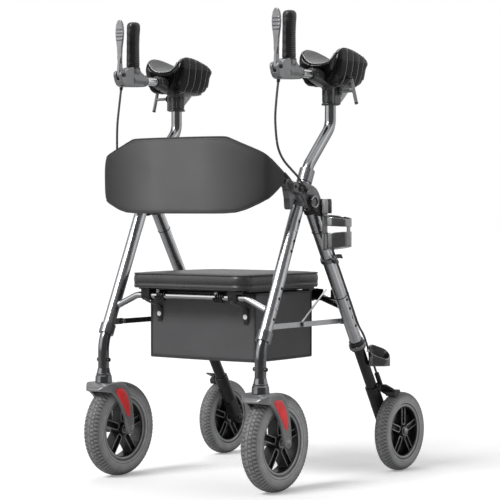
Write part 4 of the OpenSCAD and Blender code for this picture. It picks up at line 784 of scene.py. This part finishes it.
def pads():
    """The trough's shell with its ribs, and the softer lining inside it."""
    for name, side in SIDES:
        inner = smooth_path([(a, b, 0) for a, b in PAD_INNER] + [(0, 0, 0)], 4)[:, :2]
        outer = smooth_path([(a, b, 0) for a, b in PAD_OUTER], 3)[:, :2]
        half_in = inner[:-1]
        right = [(x, z, 0) for x, z in half_in]
        section = right + [(0, 0, 0)] + [(-x, z, 0) for x, z in half_in[::-1]]
        section += [(-x, z, 1) for x, z in outer] + [(0, -11, 0)] + [(x, z, 1) for x, z in outer[::-1]]
        n = 84
        rings = []
        for k in range(n + 1):
            s = 0.5 - 0.5 * math.cos(math.pi * k / n) if k in (0, n) else k / n
            s = 0.0 if k == 0 else 1.0 if k == n else (k / n) ** 1.0
            lift, width = pad_shape(s)
            y = -66 + 161 * s
            groove = sum(math.exp(-((s - c) / 0.009) ** 2) for c in (0.25, 0.42, 0.59, 0.76))
            ring = []
            for x, z, out in section:
                h = z * lift if z > 0 else z
                if z < -40:
                    h += (1 - width) * 60
                if out and abs(x) > 25:
                    cut = 1.9 * groove * max(0.0, min(1.0, (38 - z) / 8))
                    swell = 0.0
                    ax = abs(x) * width - cut + swell
                    px = math.copysign(ax, x)
                else:
                    px = x * width if abs(x) > 25 else x
                back = max(0.0, s - 0.62) / 0.38
                ring.append((252 + px, y - 16 * back * max(0.0, min(1.0, (26 - h) / 36)), 1060 + h))
            rings.append(ring)
        obj = mesh(f"forearm_pad_{name}", np.array(rings).reshape(-1, 3), ring_faces(n + 1, len(section)), side, M["pad"])
        dress(obj, f"post_{name}", "soft_rubber", f"arm_pad_{name}")
        rows = []
        lining = smooth_path([(a * 0.93, b + 0.9, 0) for a, b in PAD_INNER] + [(0, 0.9, 0)], 4)[:, :2]
        sheet_section = [(x, z) for x, z in lining] + [(-x, z) for x, z in lining[-2::-1]]
        m = 48
        for k in range(m + 1):
            s = 0.035 + 0.93 * k / m
            lift, width = pad_shape(s)
            y = -66 + 161 * s
            fade = min(1.0, k / 2, (m - k) / 2) * 0.7 + 0.3
            for x, z in sheet_section:
                rows.append((252 + x * width * (1 if abs(x) > 25 else 1), y, 1060 + max(z * lift, 0.9) * 1.0 + 0.4 * fade))
        lin = mesh(f"forearm_lining_{name}", rows, ring_faces(m + 1, len(sheet_section), closed_rings=False, caps=False), side, M["pad_lining"])
        thick = lin.modifiers.new("thickness", "SOLIDIFY")
        thick.thickness = 1.4 * MM
        thick.offset = 0
        apply_modifiers(lin)
        dress(lin, f"post_{name}", "soft_rubber")
        # light lines along the rib grooves: a painted highlight of the rib edges
        lines = []
        for c in (0.25, 0.42, 0.59, 0.76):
            lift, width = pad_shape(c)
            for s in (-1, 1):
                back = 16 * max(0.0, c - 0.62) / 0.38
                path = [(252 + s * (abs(x) * width - (0.9 if z < 32 else 0.2)), -66 + 161 * c - back * max(0.0, min(1.0, (26 - (z * lift if z > 0 else z)) / 36)),
                         1060 + (z * lift if z > 0 else z)) for x, z in outer if abs(x) > 27]
                lines.append(tube("line", np.array(path), 0.95, side, M["rib_highlight"], 8))
        dress(join(f"forearm_rib_highlights_{name}", lines), f"post_{name}", "soft_rubber")
        rims = []
        for s in (-1, 1):
            path = []
            for k in range(25):
                c = 0.05 + 0.9 * k / 24
                lift, width = pad_shape(c)
                path.append((252 + s * 55.4 * width, -66 + 161 * c, 1060 + 39.2 * lift))
            rims.append(tube("rim", smooth_path(path, 2), 1.5, side, M["rim_line"], 8))
        for c in (0.0, 1.0):
            lift, width = pad_shape(0.045 if c == 0 else 0.93)
            path = [(252 + x * width, -66 + 161 * (0.02 + 0.955 * c), 1060 + max(z * lift, 0.9) + 0.6) for x, z in sheet_section]
            rims.append(tube("rim", np.array(path), 1.4, side, M["rim_line"], 8))
        dress(join(f"forearm_rim_{name}", rims), f"post_{name}", "soft_rubber")


# ---------------------------------------------------------------- bracket under the forearm pad
def slab(name, outline, x0, x1, side, material, edge=0.8):
    """A plate across X from an outline of (y, z), with rounded edges."""
    n = len(outline)
    pts = [(x, y, z) for x in (x0, x1) for y, z in outline]
    obj = mesh(name, pts, ring_faces(2, n), side, material, smooth=False)
    return bevel(obj, edge, 3)


def brackets():
    sections = [(-92, 14.5, 1044, 1018.5), (-86, 16.5, 1045, 1016), (-76, 18.5, 1046, 1012.5), (-62, 22, 1045, 1008.5), (-40, 28, 1040, 1004.5), (-10, 34, 1030, 1001.5),
                (25, 37, 1024, 1000.5), (50, 34, 1020, 1001.5), (72, 25, 1014, 1003.5), (84, 14, 1010.5, 1006), (89, 5, 1009, 1007.2)]
    for name, side in SIDES:
        rings = []
        fine = smooth_path([(y, w, 0) for y, w, _, _ in sections], 4), smooth_path([(t, b, 0) for _, _, t, b in sections], 4)
        for (y, w, _), (top, low, _) in zip(*fine):
            ring = []
            for k in range(28):
                a = 2 * math.pi * k / 28
                c, d = math.cos(a), math.sin(a)
                ring.append((250 + w * math.copysign(abs(c) ** 0.8, c), y, (top + low) / 2 + (top - low) / 2 * math.copysign(abs(d) ** 0.8, d)))
            rings.append(ring)
        cradle = mesh(f"arm_cradle_{name}", np.array(rings).reshape(-1, 3), ring_faces(len(rings), 28), side, M["cradle"])
        dress(cradle, f"post_{name}", "grey_plastic")
        rings = [revolve("lip", [(0, 17.0), (0, 21.6), (1.2, 22.9), (3.6, 22.9), (5.2, 21.4), (7.0, 20.3), (7.0, 17.0)], (250, -6, 958.2), (0, 0, 1), side, M["cradle"], 48, ring=True),
                 revolve("flare", [(0, 18), (0, 20.2), (5, 21.4), (10, 24.6), (12, 25.2), (12, 18)], (250, -6, 995), (0, 0, 1), side, M["cradle"], 48, ring=True)]
        for k in range(14):
            a = 2 * math.pi * k / 14
            c, d = math.cos(a), math.sin(a)
            path = [(250 + 19.9 * c, -6 + 19.9 * d, 966), (250 + 20.4 * c, -6 + 20.4 * d, 972), (250 + 20.6 * c, -6 + 20.6 * d, 1000)]
            rings.append(tube("rib", np.array(path), 1.0, side, M["bracket"], 8))
        dress(join(f"arm_sleeve_{name}", rings), f"post_{name}", "grey_plastic")
        gusset = slab(f"arm_gusset_{name}", [(12, 964), (17, 962.5), (30, 971), (66, 1001), (66, 1010), (12, 1010)], 255, 263.4, side, M["clip"], 1.2)
        dress(gusset, f"post_{name}", "grey_plastic")
        dots = [screw_head((263.4, y, z), (1, 0, 0), 1.9, 0.5, side, M["black"], False) for y, z in ((26, 984), (26, 998), (42, 998))]
        dress(join(f"gusset_rivets_{name}", dots), f"post_{name}", "steel")
        knob = revolve(f"clamp_knob_{name}", [(0, 3.9), (0, 9.6), (1.4, 10.0), (3.4, 9.4), (4.2, 7.2), (3.2, 5.6), (3.2, 3.9)], (277.6, -6, 993), (1, 0, 0), side, M["black"], 36, ring=True)
        dress(knob, f"post_{name}", "black_plastic")
    cover = slab("cup_mount_cover", [(-97, 683.2), (-79, 683.2), (-79, 713), (-82, 719.6), (-94, 719.6), (-97, 715)], 284.6, 293.6, 1, M["clip"], 2.2)
    dress(cover, "rear_frame", "grey_plastic")
    side_block = slab("cup_mount_side", [(-79.6, 683.5), (-62.9, 683.5), (-62.9, 712), (-65.6, 719.9), (-79.6, 719.9)], 284.8, 293.2, 1, M["black"], 1.2)
    dress(side_block, "rear_frame", "black_plastic")
    strip = slab("cup_back_strip", [(-93.4, 593.5), (-73.8, 593.5), (-73.8, 699), (-93.4, 699)], 283.6, 287.4, 1, M["grey_metal"], 0.8)
    dress(strip, "rear_frame", "grey_plastic")


# ---------------------------------------------------------------- grips
def grips():
    for name, side in SIDES:
        low, high = 1066.2, 1184.8
        n, rows = 48, 90
        pts = []
        for j in range(rows + 1):
            t = j / rows
            z = low + (high - low) * t
            body = np.interp(t, [0, 0.03, 0.25, 0.5, 0.72, 0.84, 0.92, 0.965, 0.99, 1], [0.9, 0.99, 0.97, 0.955, 0.975, 1.01, 0.99, 0.88, 0.66, 0.4])
            lean = np.interp(t, [0, 0.5, 0.72, 0.84, 1], [0, 0, 1, 2, 3])
            for k in range(n):
                a = 2 * math.pi * k / n
                fingers = 0.0
                if 0.08 < t < 0.86:
                    fingers = -0.7 * (0.5 + 0.5 * math.cos(2 * math.pi * (t - 0.08) / 0.195)) * max(0.0, -math.sin(a)) ** 2
                    ribs = 0.35 * (1 if (j % 4) < 2 else -1) * max(0.0, abs(math.cos(a)) - 0.62) / 0.38
                    fingers += ribs
                seam = -0.5 * math.exp(-((a - math.pi / 2) / 0.07) ** 2) - 0.5 * math.exp(-((a - 3 * math.pi / 2) / 0.07) ** 2)
                pts.append((250 + (16.5 * body + fingers + seam) * math.cos(a), -190 + lean + (19 * body + fingers + seam) * math.sin(a), z))
        obj = mesh(f"hand_grip_{name}", pts, ring_faces(rows + 1, n), side, M["grip"])
        dress(obj, f"arm_{name}", "soft_rubber", f"grip_{name}")
        ring = revolve(f"grip_ring_{name}", [(0, 14), (0, 17.4), (1, 18.2), (3.2, 18.2), (4.2, 17.4), (4.2, 14)], (250, -190, 1062.4), (0, 0, 1),
                       side, M["charcoal"], 40)
        dress(ring, f"arm_{name}", "grey_plastic")


# ---------------------------------------------------------------- tyres
def tyre(x, axle, r, w, bead, blocks):
    """Points, faces and tone of a tyre: ringed side walls, cut shoulder, and a tread with two channels and fine sipes."""
    depth = r - bead
    # each side-wall point is (across, height, tone); the tone's dips to 0 in the side-wall grooves are painted shade
    # and dirt
    side = [(0.36, 0, 0.2), (0.42, 0.012, 0.3), (0.442, 0.05, 0.3), (0.446, 0.065, 0.85), (0.466, 0.1, 1), (0.474, 0.16, 1), (0.474, 0.19, 0.9),
            (0.462, 0.2, 0), (0.466, 0.215, 0.2), (0.482, 0.23, 0.85), (0.49, 0.3, 0.8), (0.497, 0.4, 0.7), (0.5, 0.5, 0.62), (0.494, 0.6, 0.55),
            (0.486, 0.66, 0.55), (0.476, 0.675, 0.05), (0.474, 0.69, 0.1), (0.478, 0.7, 0.6)]
    crown_u = [0, 0.1, 0.18, 0.26, 0.33, 0.4, 0.45, 0.474]
    crown_r = [r, r - 0.12, r - depth * 0.015, r - depth * 0.042, r - depth * 0.078, r - depth * 0.135, r - depth * 0.21, r - depth * 0.275]
    half = [(u * w, bead + depth * t, tone, 0) for u, t, tone in side]
    bands = ((1, (0.472, 0.462, 0.45, 0.43, 0.41, 0.385, 0.36, 0.335, 0.315)), (9, (0.307, 0.296, 0.285)), (2, (0.277, 0.262, 0.24, 0.215, 0.19, 0.165, 0.14, 0.118)),
             (9, (0.11, 0.099, 0.088)), (3, (0.08, 0.055, 0.028, 0.0)))
    for kind, us in bands:
        for u in us:
            half.append((u * w, float(np.interp(u, crown_u, crown_r)), 0.42 if kind < 9 else 0.0, kind))
    row = half + [(-a, b, t, k) for a, b, t, k in half[-2::-1]]
    n, m = blocks * 3, len(row)
    pts, tones = [], []
    for j in range(n):
        turn = 2 * math.pi * j / n
        for i, (a, b, t, kind) in enumerate(row):
            # the channels carry tone 0 and the cuts below set a low tone: these darker grooves are painted shade and
            # dirt
            cut = 0.0
            flip = 1 if a > 0 else 0
            if kind == 9:
                cut = 2.2
            elif kind == 1 and (j + flip) % 3 == 0 and 0.33 < abs(a) / w < 0.468:
                cut, t = 1.9, 0.0
            elif kind == 2 and (j + 1 + flip) % 3 == 0 and 0.13 < abs(a) / w < 0.266:
                cut, t = 1.5, 0.02
            elif kind == 3 and j % 6 == 0 and abs(a) / w < 0.06:
                cut, t = 1.0, 0.1
            radius = b - cut
            pts.append((x + a * (1 - cut * 0.006), axle[0] + radius * math.sin(turn), axle[1] + radius * math.cos(turn)))
            tones.append(t)
    faces = ring_faces(n, m, closed_rings=False, caps=False, loop=True)
    faces += [((j + 1) % n * m, (j + 1) % n * m + m - 1, j * m + m - 1, j * m)[::-1] for j in range(n)]
    return pts, faces, tones


def spoke_lines(x, axle, w, hub_r, rim_r, spoke_w, side):
    """Raised beads on the edges of the five channel spokes on both faces of a wheel, light grey as a painted highlight
    of those edges.
    """
    beads = []
    for i in range(5):
        turn = math.radians(90 + 72 * i)
        along, across = np.array([0, math.cos(turn), math.sin(turn)]), np.array([0, -math.sin(turn), math.cos(turn)])
        for face in (-1, 1):
            c = np.array([x + face * w * 0.302, axle[0], axle[1]])
            half = spoke_w / 2
            path = [c + along * rim_r + across * half, c + along * (hub_r + 9) + across * half, c + along * (hub_r + 5.5) + across * half * 0.6,
                    c + along * (hub_r + 4.5), c + along * (hub_r + 5.5) - across * half * 0.6, c + along * (hub_r + 9) - across * half,
                    c + along * rim_r - across * half]
            beads.append(tube("bead", np.array(path), 1.25, side, M["lip"], 8))
            end = [c + along * rim_r + across * half * k for k in (-1, -0.5, 0, 0.5, 1)]
            beads.append(tube("bead", np.array(end), 1.25, side, M["lip"], 8))
    return beads


def wheels():
    for name, side in SIDES:
        for kind, x, axle, r, w, bead, blocks in (("front", 250, FRONT_AXLE, 122, 47.8, 81, 70), ("rear", 291, REAR_AXLE, 104, 37.8, 74, 64)):
            pts, faces, tones = tyre(x, axle, r, w, bead, blocks)
            obj = mesh(f"{kind}_tread_{name}", pts, [f[::-1] for f in faces], side, M["tyre"])
            obj.data.attributes.new("tone", "FLOAT", "POINT").data.foreach_set("value", tones)
            dress(obj, f"{kind}_wheel_{name}", "tyre", f"{kind}_tyre_{name}")
            spoke = spoke_lines(x, axle, w, *((14, bead - 9, 17) if kind == "front" else (13, bead - 9, 15)), side)
            dress(join(f"{kind}_spoke_edge_highlights_{name}", spoke), f"{kind}_wheel_{name}", "rim")
            # the light grey lips on the rim edges are a painted highlight of those edges
            lip = []
            rim_r = bead - 0.2
            wide = w * 0.37
            for s in (-1, 1):
                lip.append(revolve("lip", [(s * (wide - 2.5), rim_r - 8.5), (s * (wide + 0.6), rim_r - 8.0), (s * (wide + 1.6), rim_r - 6.0),
                                           (s * (wide + 1.8), rim_r - 3.0), (s * (wide + 1.2), rim_r - 0.6), (s * (wide - 2.5), rim_r - 0.3)],
                                   (x, axle[0], axle[1]), (1, 0, 0), side, M["lip"], 96, ring=True))
            dress(join(f"{kind}_rim_lips_{name}", lip), f"{kind}_wheel_{name}", "rim")
            caps = []
            hub = 20.0 if kind == "front" else 15.0
            for s in (-1, 1):
                caps.append(revolve("cap", [(s * (hub - 1), 7), (s * (hub + 0.05), 11.5), (s * (hub + 0.2), 10.5), (s * (hub + 0.25), 7)],
                                    (x, axle[0], axle[1]), (1, 0, 0), side, M["lip"], 40, ring=True))
            dress(join(f"{kind}_hub_rings_{name}", caps), f"{kind}_wheel_{name}", "rim")
            if kind == "rear":
                web = revolve(f"rear_web_{name}", [(-0.6, 12), (-0.6, bead - 8), (0.6, bead - 8), (0.6, 12)], (x, axle[0], axle[1]), (1, 0, 0), side, M["rim"], 64, ring=True)
                dress(web, f"rear_wheel_{name}", "rim")


# ---------------------------------------------------------------- cables
UPPER = [(251, -236, 1012), (251, -245, 961), (252, -251, 914), (255, -249, 863), (259, -243, 834), (265, -230, 811), (271, -210, 792),
         (276, -190, 775), (279.4, -172, 756), (279.6, -158.5, 743.5)]
GUIDE_OUT = 1.24


def leg_route(z, out):
    return (LEG_X + 12.5 * out, rear_y(z) + 15 * out / math.cos(REAR_RAKE), z)


LOWER = [leg_route(z, o) for z, o in ((683, 1), (640, 1), (600, 1), (560, 1), (500, 1), (440, 1), (395, 1), (366, GUIDE_OUT), (340, GUIDE_OUT),
                                       (300, GUIDE_OUT), (260, GUIDE_OUT), (238, GUIDE_OUT))]


def cables():
    for name, side in SIDES:
        up = smooth_path(UPPER, 6)
        cut = 18
        top = tube(f"cable_arm_{name}", up[:cut + 1], 2.95, side, M["cable"], 14)
        low = tube(f"cable_bracket_{name}", up[cut:], 2.95, side, M["cable"], 14)
        mirror = Vector((side, 1, 1))

        def at(p):
            return ((p[0] * side - ORIGIN_X) * MM, p[1] * MM, p[2] * MM)

        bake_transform(top)
        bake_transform(low)
        down = tube(f"cable_leg_{name}", smooth_path(LOWER, 4), 2.95, side, M["cable"], 14)
        at(leg_route(352, 1.2))
        at(leg_route(262, 1.2))
        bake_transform(down)
        if side > 0:
            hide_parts("upper_cables")
            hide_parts("upper_cables")
            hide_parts("lower_cables")
        ends = [tube("ferrule", [up[0] + (up[1] - up[0]) * k for k in (0.0, 0.5, 1.2, 1.5)], [4.6, 4.6, 3.9, 3.2], side, M["black"], 16)]
        dress(join(f"cable_ferrule_{name}", ends), f"arm_{name}", "black_plastic")
        d = (up[-2] - up[-1]) / np.linalg.norm(up[-2] - up[-1])
        boot = tube(f"cable_boot_{name}", [up[-1] - d * 3, up[-1] + d * 4, up[-1] + d * 12, up[-1] + d * 15], [4.8, 4.8, 3.8, 3.2], side, M["black"], 16)
        dress(boot, "frame", "black_plastic")
        ties = []
        for z in (640, 470):
            c = np.array([LEG_X, rear_y(z), z])
            u = np.array([12.5, 15 * math.cos(REAR_RAKE), 15 * math.sin(REAR_RAKE)])
            u = u / np.linalg.norm(u)
            v = np.cross(REAR_AXIS, u)
            loop = []
            for k in range(40):
                a = 2 * math.pi * k / 40
                reach = 16.6 + 6.2 * max(0.0, math.cos(a)) ** 10
                loop.append(c + reach * (math.cos(a) * u + math.sin(a) * v))
            ties.append(tube("tie", loop, 0.9, side, M["black"], 6, loop=True))
        dress(join(f"cable_ties_{name}", ties), "rear_frame", "black_plastic")


# ---------------------------------------------------------------- springs and small hardware
def screw_head(centre, axis, r, h, side, material, socket=True):
    profile = [(-0.4, 0.3), (-0.4, r), (h * 0.55, r), (h * 0.9, r * 0.82), (h, r * 0.55)]
    profile += [(h * 0.98, r * 0.42), (h * 0.35, r * 0.38), (h * 0.3, 0.2)] if socket else [(h * 1.02, 0.2)]
    return revolve("screw", profile, centre, axis, side, material, 28)


def springs():
    coils = []
    for x0 in (79, -107.8):
        path = []
        for i in range(4 * 24 + 1):
            turn = i / 24
            path.append((x0 + turn * 7.2, -264 - 11.1 * math.cos(2 * math.pi * turn), 474 - 11.1 * math.sin(2 * math.pi * turn)))
        coils.append(tube("coil", path, 1.95, 1, M["black_steel"], 10))
    dress(join("seat_spring_coils", coils), "frame", "black_steel", "seat_springs")
    knobs = []
    for x in (-100, 86):
        knobs.append(screw_head((x, -271.5, 484.4), (0, -0.5, 0.9), 4.6, 3.6, 1, M["clip"], False))
    dress(join("spring_screws", knobs), "seat", "steel")


def trim():
    for name, side in SIDES:
        out = np.array([math.cos(math.radians(0)), 0, 0])
        buttons, rings = [], []
        for top, count, pressed, axis_y, axis in ((664, 4, 1, front_y, FRONT_AXIS), (499.6, 4, 2, front_y, FRONT_AXIS), (461.4, 4, 2, rear_y, REAR_AXIS)):
            for i in range(count):
                c = np.array([LEG_X, axis_y(top), top]) - axis * 27 * i
                # black ring set in the wall of each adjustment hole: painted shade in the holes
                rings.append((revolve("hole", [(15.2, 3.7), (16.12, 3.9), (16.25, 3.5), (16.12, 3.05), (15.2, 2.95)], c, (1, 0, 0), side, M["black"], 20, ring=True), axis is REAR_AXIS))
                if i == pressed:
                    buttons.append((revolve("button", [(13.5, 2.8), (16.6, 2.8), (17.6, 2.2), (18.0, 1.0), (18.05, 0.1)], c, (1, 0, 0), side, M["steel"], 20),
                                    axis is REAR_AXIS))
        dress(join(f"front_hole_shade_rings_{name}", [o for o, rear in rings if not rear]), "frame", "black_plastic")
        dress(join(f"rear_hole_shade_rings_{name}", [o for o, rear in rings if rear]), "rear_frame", "black_plastic")
        front_buttons = [o for o, rear in buttons if not rear]
        dress(front_buttons[0], "frame", "steel").name = f"post_button_{name}"
        dress(front_buttons[1], "frame", "steel").name = f"front_leg_button_{name}"
        dress([o for o, rear in buttons if rear][0], "rear_frame", "steel").name = f"rear_leg_button_{name}"
        # reflector let into the outer face of the fork
        a = FRONT_AXLE[0]
        outline = [(-311, 234), (-296, 235.2), (-284, 234.5), (-275, 229.5), (-264, 216), (-256, 198), (-251.5, 180), (-250, 168), (-251.5, 156), (-256.5, 152.2),
                   (-261.5, 155), (-267, 163.5), (-275, 177.5), (-289, 197), (-303, 214), (-311.5, 226)]
        shift = a + 248.7
        centre = np.mean(outline, 0)
        for s in (-1, 1):
            pts, faces = [], []
            for grow, out_x in ((0.8, 41.2), (1.0, 42.0), (0.93, 43.3), (0.5, 43.6)):
                for y, z in outline:
                    q = centre + (np.array([y, z]) - centre) * grow
                    pts.append((250 + s * out_x, q[0] + shift, q[1]))
            n = len(outline)
            faces = ring_faces(4, n)
            if s > 0:
                faces = [f[::-1] for f in faces]
            lens = soften(mesh(f"reflector_{'outer' if s > 0 else 'inner'}_{name}", pts, faces, side, M["red"]), 1)
            dress(lens, f"caster_{name}", "grey_plastic")
        bolts = [screw_head((250 + s * 45.0, a, 122), (s, 0, 0), 6.2, 1.6, side, M["collar"]) for s in (-1, 1)]
        dress(join(f"fork_bolts_{name}", bolts), f"caster_{name}", "steel")
        cross = [screw_head((250 + 17.5, STEM_Y, 306), (1, 0, 0), 5.2, 2.4, side, M["black"]), screw_head((250 - 18.5, STEM_Y, 306), (-1, 0, 0), 5.2, 2.4, side, M["black"])]
        dress(join(f"front_leg_bolts_{name}", cross), f"front_lower_{name}", "steel")
        hub = [revolve("hubcap", [(0, 5.6), (0, 9.2), (2.2, 9.0), (3.2, 7.8), (3.4, 0.3)], (309.2, REAR_AXLE[0], 104), (1, 0, 0), side, M["collar"], 32)]
        dress(hub[0], f"rear_lower_{name}", "steel").name = f"axle_cap_{name}"
        dress(screw_head((232.0, REAR_AXLE[0], 104), (-1, 0, 0), 6.5, 2.0, side, M["steel"]), f"rear_lower_{name}", "steel").name = f"axle_bolt_{name}"
        # ring and screw faces on the fold bracket
        px = 250 + 16 + 1 + 8 + 0.4 + 8
        ring = [revolve("ring", [(3.9, 9.5), (4.2, 12.0), (5.0, 13.2), (5.0, 14.6), (4.0, 15.8), (0.4, 16.4)], (px, -128, 712), (1, 0, 0), side, M["collar"], 48, ring=True)]
        dress(ring[0], "frame", "steel").name = f"pivot_ring_{name}"
        heads = [screw_head((279.0, -174, 744), (1, 0, 0), 6.4, 2.6, side, M["charcoal"]), screw_head((275.0, -196, 750), (1, 0, 0), 4.4, 1.8, side, M["black"])]
        dress(join(f"bracket_screws_{name}", heads), "frame", "steel")
        tips = []
        for e in (1, -1):
            tilt = math.radians(14)
            d = np.array([-math.sin(tilt), 0, math.cos(tilt)]) * e
            c = np.array([250 + 71, -6, 993]) + d * 33.2
            tips.append(revolve("tip", [(-3, 4.62), (0.6, 4.62), (1.5, 3.8), (1.9, 2.0), (1.95, 0.2)], c, d, side, M["black"], 24))
        dress(join(f"lever_tips_{name}", tips), f"lock_lever_{name}", "black_steel")
        slots = [screw_head((250 + s * 15.0, -243, 1043), (s, 0, 0), 5.4, 1.6, side, M["black"]) for s in (-1, 1)]
        dress(join(f"lever_pivots_{name}", slots), f"arm_{name}", "steel")
        dots = [screw_head((250 + 15.2, -150, 1031 + k), (1, 0, 0), 1.6, 0.5, side, M["black"], False) for k in (-3, 3)]
        dress(join(f"housing_screws_{name}", dots), f"arm_{name}", "black_plastic")
        pins = [screw_head((223.0, -98, 404), (-1, 0, 0), 4.0, 1.2, side, M["steel"])]
        dress(pins[0], "brace_front", "steel").name = f"brace_pin_head_{name}"


# ---------------------------------------------------------------- floor and light
def studio():
    ground = bpy.data.materials.new("ground")
    ground.use_nodes = True
    t = ground.node_tree
    b = next(n for n in t.nodes if n.type == "BSDF_PRINCIPLED")
    b.inputs["Base Color"].default_value = (0.9, 0.9, 0.9, 1)
    b.inputs["Roughness"].default_value = 0.9
    b.inputs["Specular IOR Level"].default_value = 0.1
    out = next(n for n in t.nodes if n.type == "OUTPUT_MATERIAL")
    glow = t.nodes.new("ShaderNodeEmission")
    path = t.nodes.new("ShaderNodeLightPath")
    add = t.nodes.new("ShaderNodeAddShader")
    scale = t.nodes.new("ShaderNodeMath")
    scale.operation = "MULTIPLY"
    scale.inputs[1].default_value = 0.26
    t.links.new(path.outputs["Is Camera Ray"], scale.inputs[0])
    t.links.new(scale.outputs[0], glow.inputs["Strength"])
    t.links.new(b.outputs[0], add.inputs[0])
    t.links.new(glow.outputs[0], add.inputs[1])
    # in glossy rays the floor is mostly swapped, wholly far ahead, for a glow of its own that is no lamp: dim, with one
    # bright patch; a painted reflection
    place = t.nodes.new("ShaderNodeTexCoord")
    ahead = t.nodes.new("ShaderNodeVectorMath")
    ahead.operation = "DOT_PRODUCT"
    ahead.inputs[1].default_value = (0.591, -0.807, 0.0)
    t.links.new(place.outputs["Object"], ahead.inputs[0])
    far = t.nodes.new("ShaderNodeMapRange")
    far.inputs["From Min"].default_value = 0.9
    far.inputs["From Max"].default_value = 2.6
    far.inputs["To Min"].default_value = 0.55
    t.links.new(ahead.outputs["Value"], far.inputs["Value"])
    both = t.nodes.new("ShaderNodeMath")
    both.operation = "MULTIPLY"
    t.links.new(far.outputs["Result"], both.inputs[0])
    t.links.new(path.outputs["Is Glossy Ray"], both.inputs[1])
    dim = t.nodes.new("ShaderNodeEmission")
    # one bright patch of floor on the right, seen only in the tubes that lean back
    away = t.nodes.new("ShaderNodeVectorMath")
    away.operation = "DISTANCE"
    away.inputs[1].default_value = (1.9, 0.35, 0.0)
    t.links.new(place.outputs["Object"], away.inputs[0])
    patch = t.nodes.new("ShaderNodeMapRange")
    patch.inputs["From Min"].default_value = 1.0
    patch.inputs["From Max"].default_value = 0.35
    patch.inputs["To Min"].default_value = 0.12
    patch.inputs["To Max"].default_value = 1.5
    t.links.new(away.outputs["Value"], patch.inputs["Value"])
    t.links.new(patch.outputs["Result"], dim.inputs["Strength"])
    mixed = t.nodes.new("ShaderNodeMixShader")
    t.links.new(both.outputs[0], mixed.inputs[0])
    t.links.new(add.outputs[0], mixed.inputs[1])
    t.links.new(dim.outputs[0], mixed.inputs[2])
    t.links.new(mixed.outputs[0], out.inputs[0])
    data = bpy.data.meshes.new("floor")
    e = 40.0
    data.from_pydata([(-e, -e, 0), (e, -e, 0), (e, e, 0), (-e, e, 0)], [], [(0, 1, 2, 3)])
    data.materials.append(ground)
    floor = bpy.data.objects.new("floor", data)
    floor.location.z = -0.0005
    bpy.context.scene.collection.objects.link(floor)

    world = bpy.data.worlds.new("studio")
    bpy.context.scene.world = world
    world.use_nodes = True
    w = world.node_tree
    w.nodes.clear()

    def node(kind, inputs=(), **attributes):
        n = w.nodes.new(kind)
        for key, value in attributes.items():
            setattr(n, key, value)
        for key, value in dict(inputs).items():
            if isinstance(value, bpy.types.NodeSocket):
                w.links.new(value, n.inputs[key])
            else:
                n.inputs[key].default_value = value
        return n

    # white behind the object; in reflections a grey room with a soft box on the left, one on the right and one overhead
    rays = node("ShaderNodeLightPath").outputs
    looking = node("ShaderNodeTexCoord").outputs["Generated"]
    level = 0.16
    for at, edge, core, gain in (((-0.56, -0.78, 0.26), 0.80, 0.89, 1.5), ((0.55, 0.79, 0.24), 0.62, 0.86, 0.85), ((0.0, 0.0, 1.0), 0.6, 0.85, 0.9),
                                 ((-0.8, 0.55, 0.1), 0.7, 0.92, 0.5)):
        cos = node("ShaderNodeVectorMath", {0: looking, 1: at}, operation="DOT_PRODUCT").outputs["Value"]
        box = node("ShaderNodeMapRange", {"Value": cos, "From Min": edge, "From Max": core, "To Max": gain}, interpolation_type="SMOOTHSTEP").outputs["Result"]
        level = node("ShaderNodeMath", {0: box, 1: level}, operation="ADD").outputs[0]
    soft = node("ShaderNodeBackground", {"Color": (1, 1, 1, 1), "Strength": 0.3})
    mirror = node("ShaderNodeBackground", {"Color": (1, 1, 1, 1), "Strength": level})
    white = node("ShaderNodeBackground", {"Color": (1, 1, 1, 1), "Strength": 1.0})
    lit = node("ShaderNodeMixShader", {0: rays["Is Glossy Ray"], 1: soft.outputs[0], 2: mirror.outputs[0]})
    seen = node("ShaderNodeMath", {0: rays["Is Camera Ray"], 1: rays["Is Transmission Ray"]}, operation="MAXIMUM")
    whole = node("ShaderNodeMixShader", {0: seen.outputs[0], 1: lit.outputs[0], 2: white.outputs[0]})
    node("ShaderNodeOutputWorld", {"Surface": whole.outputs[0]})

    right = Vector((0.807, 0.591, 0))
    near = Vector((0.591, -0.807, 0))
    up = Vector((0, 0, 1))
    for name, d, power, spread in (("key", -0.85 * right + 0.75 * near + 1.0 * up, 2.2, 22), ("fill", 1.0 * right + 0.35 * near + 0.6 * up, 0.2, 30),
                                   ("top", -0.1 * right - 0.5 * near + 1.0 * up, 0.5, 40)):
        lamp = bpy.data.lights.new(name, "SUN")
        lamp.energy = power
        lamp.angle = math.radians(spread)
        o = bpy.data.objects.new(name, lamp)
        o.rotation_euler = d.to_track_quat("Z", "Y").to_euler()
        bpy.context.scene.collection.objects.link(o)


castings()
cushion()
band()
basket()
pads()
brackets()
grips()
wheels()
cables()
springs()
trim()
studio()
bpy.context.scene.view_settings.view_transform = "Standard"
bpy.context.view_layer.update()
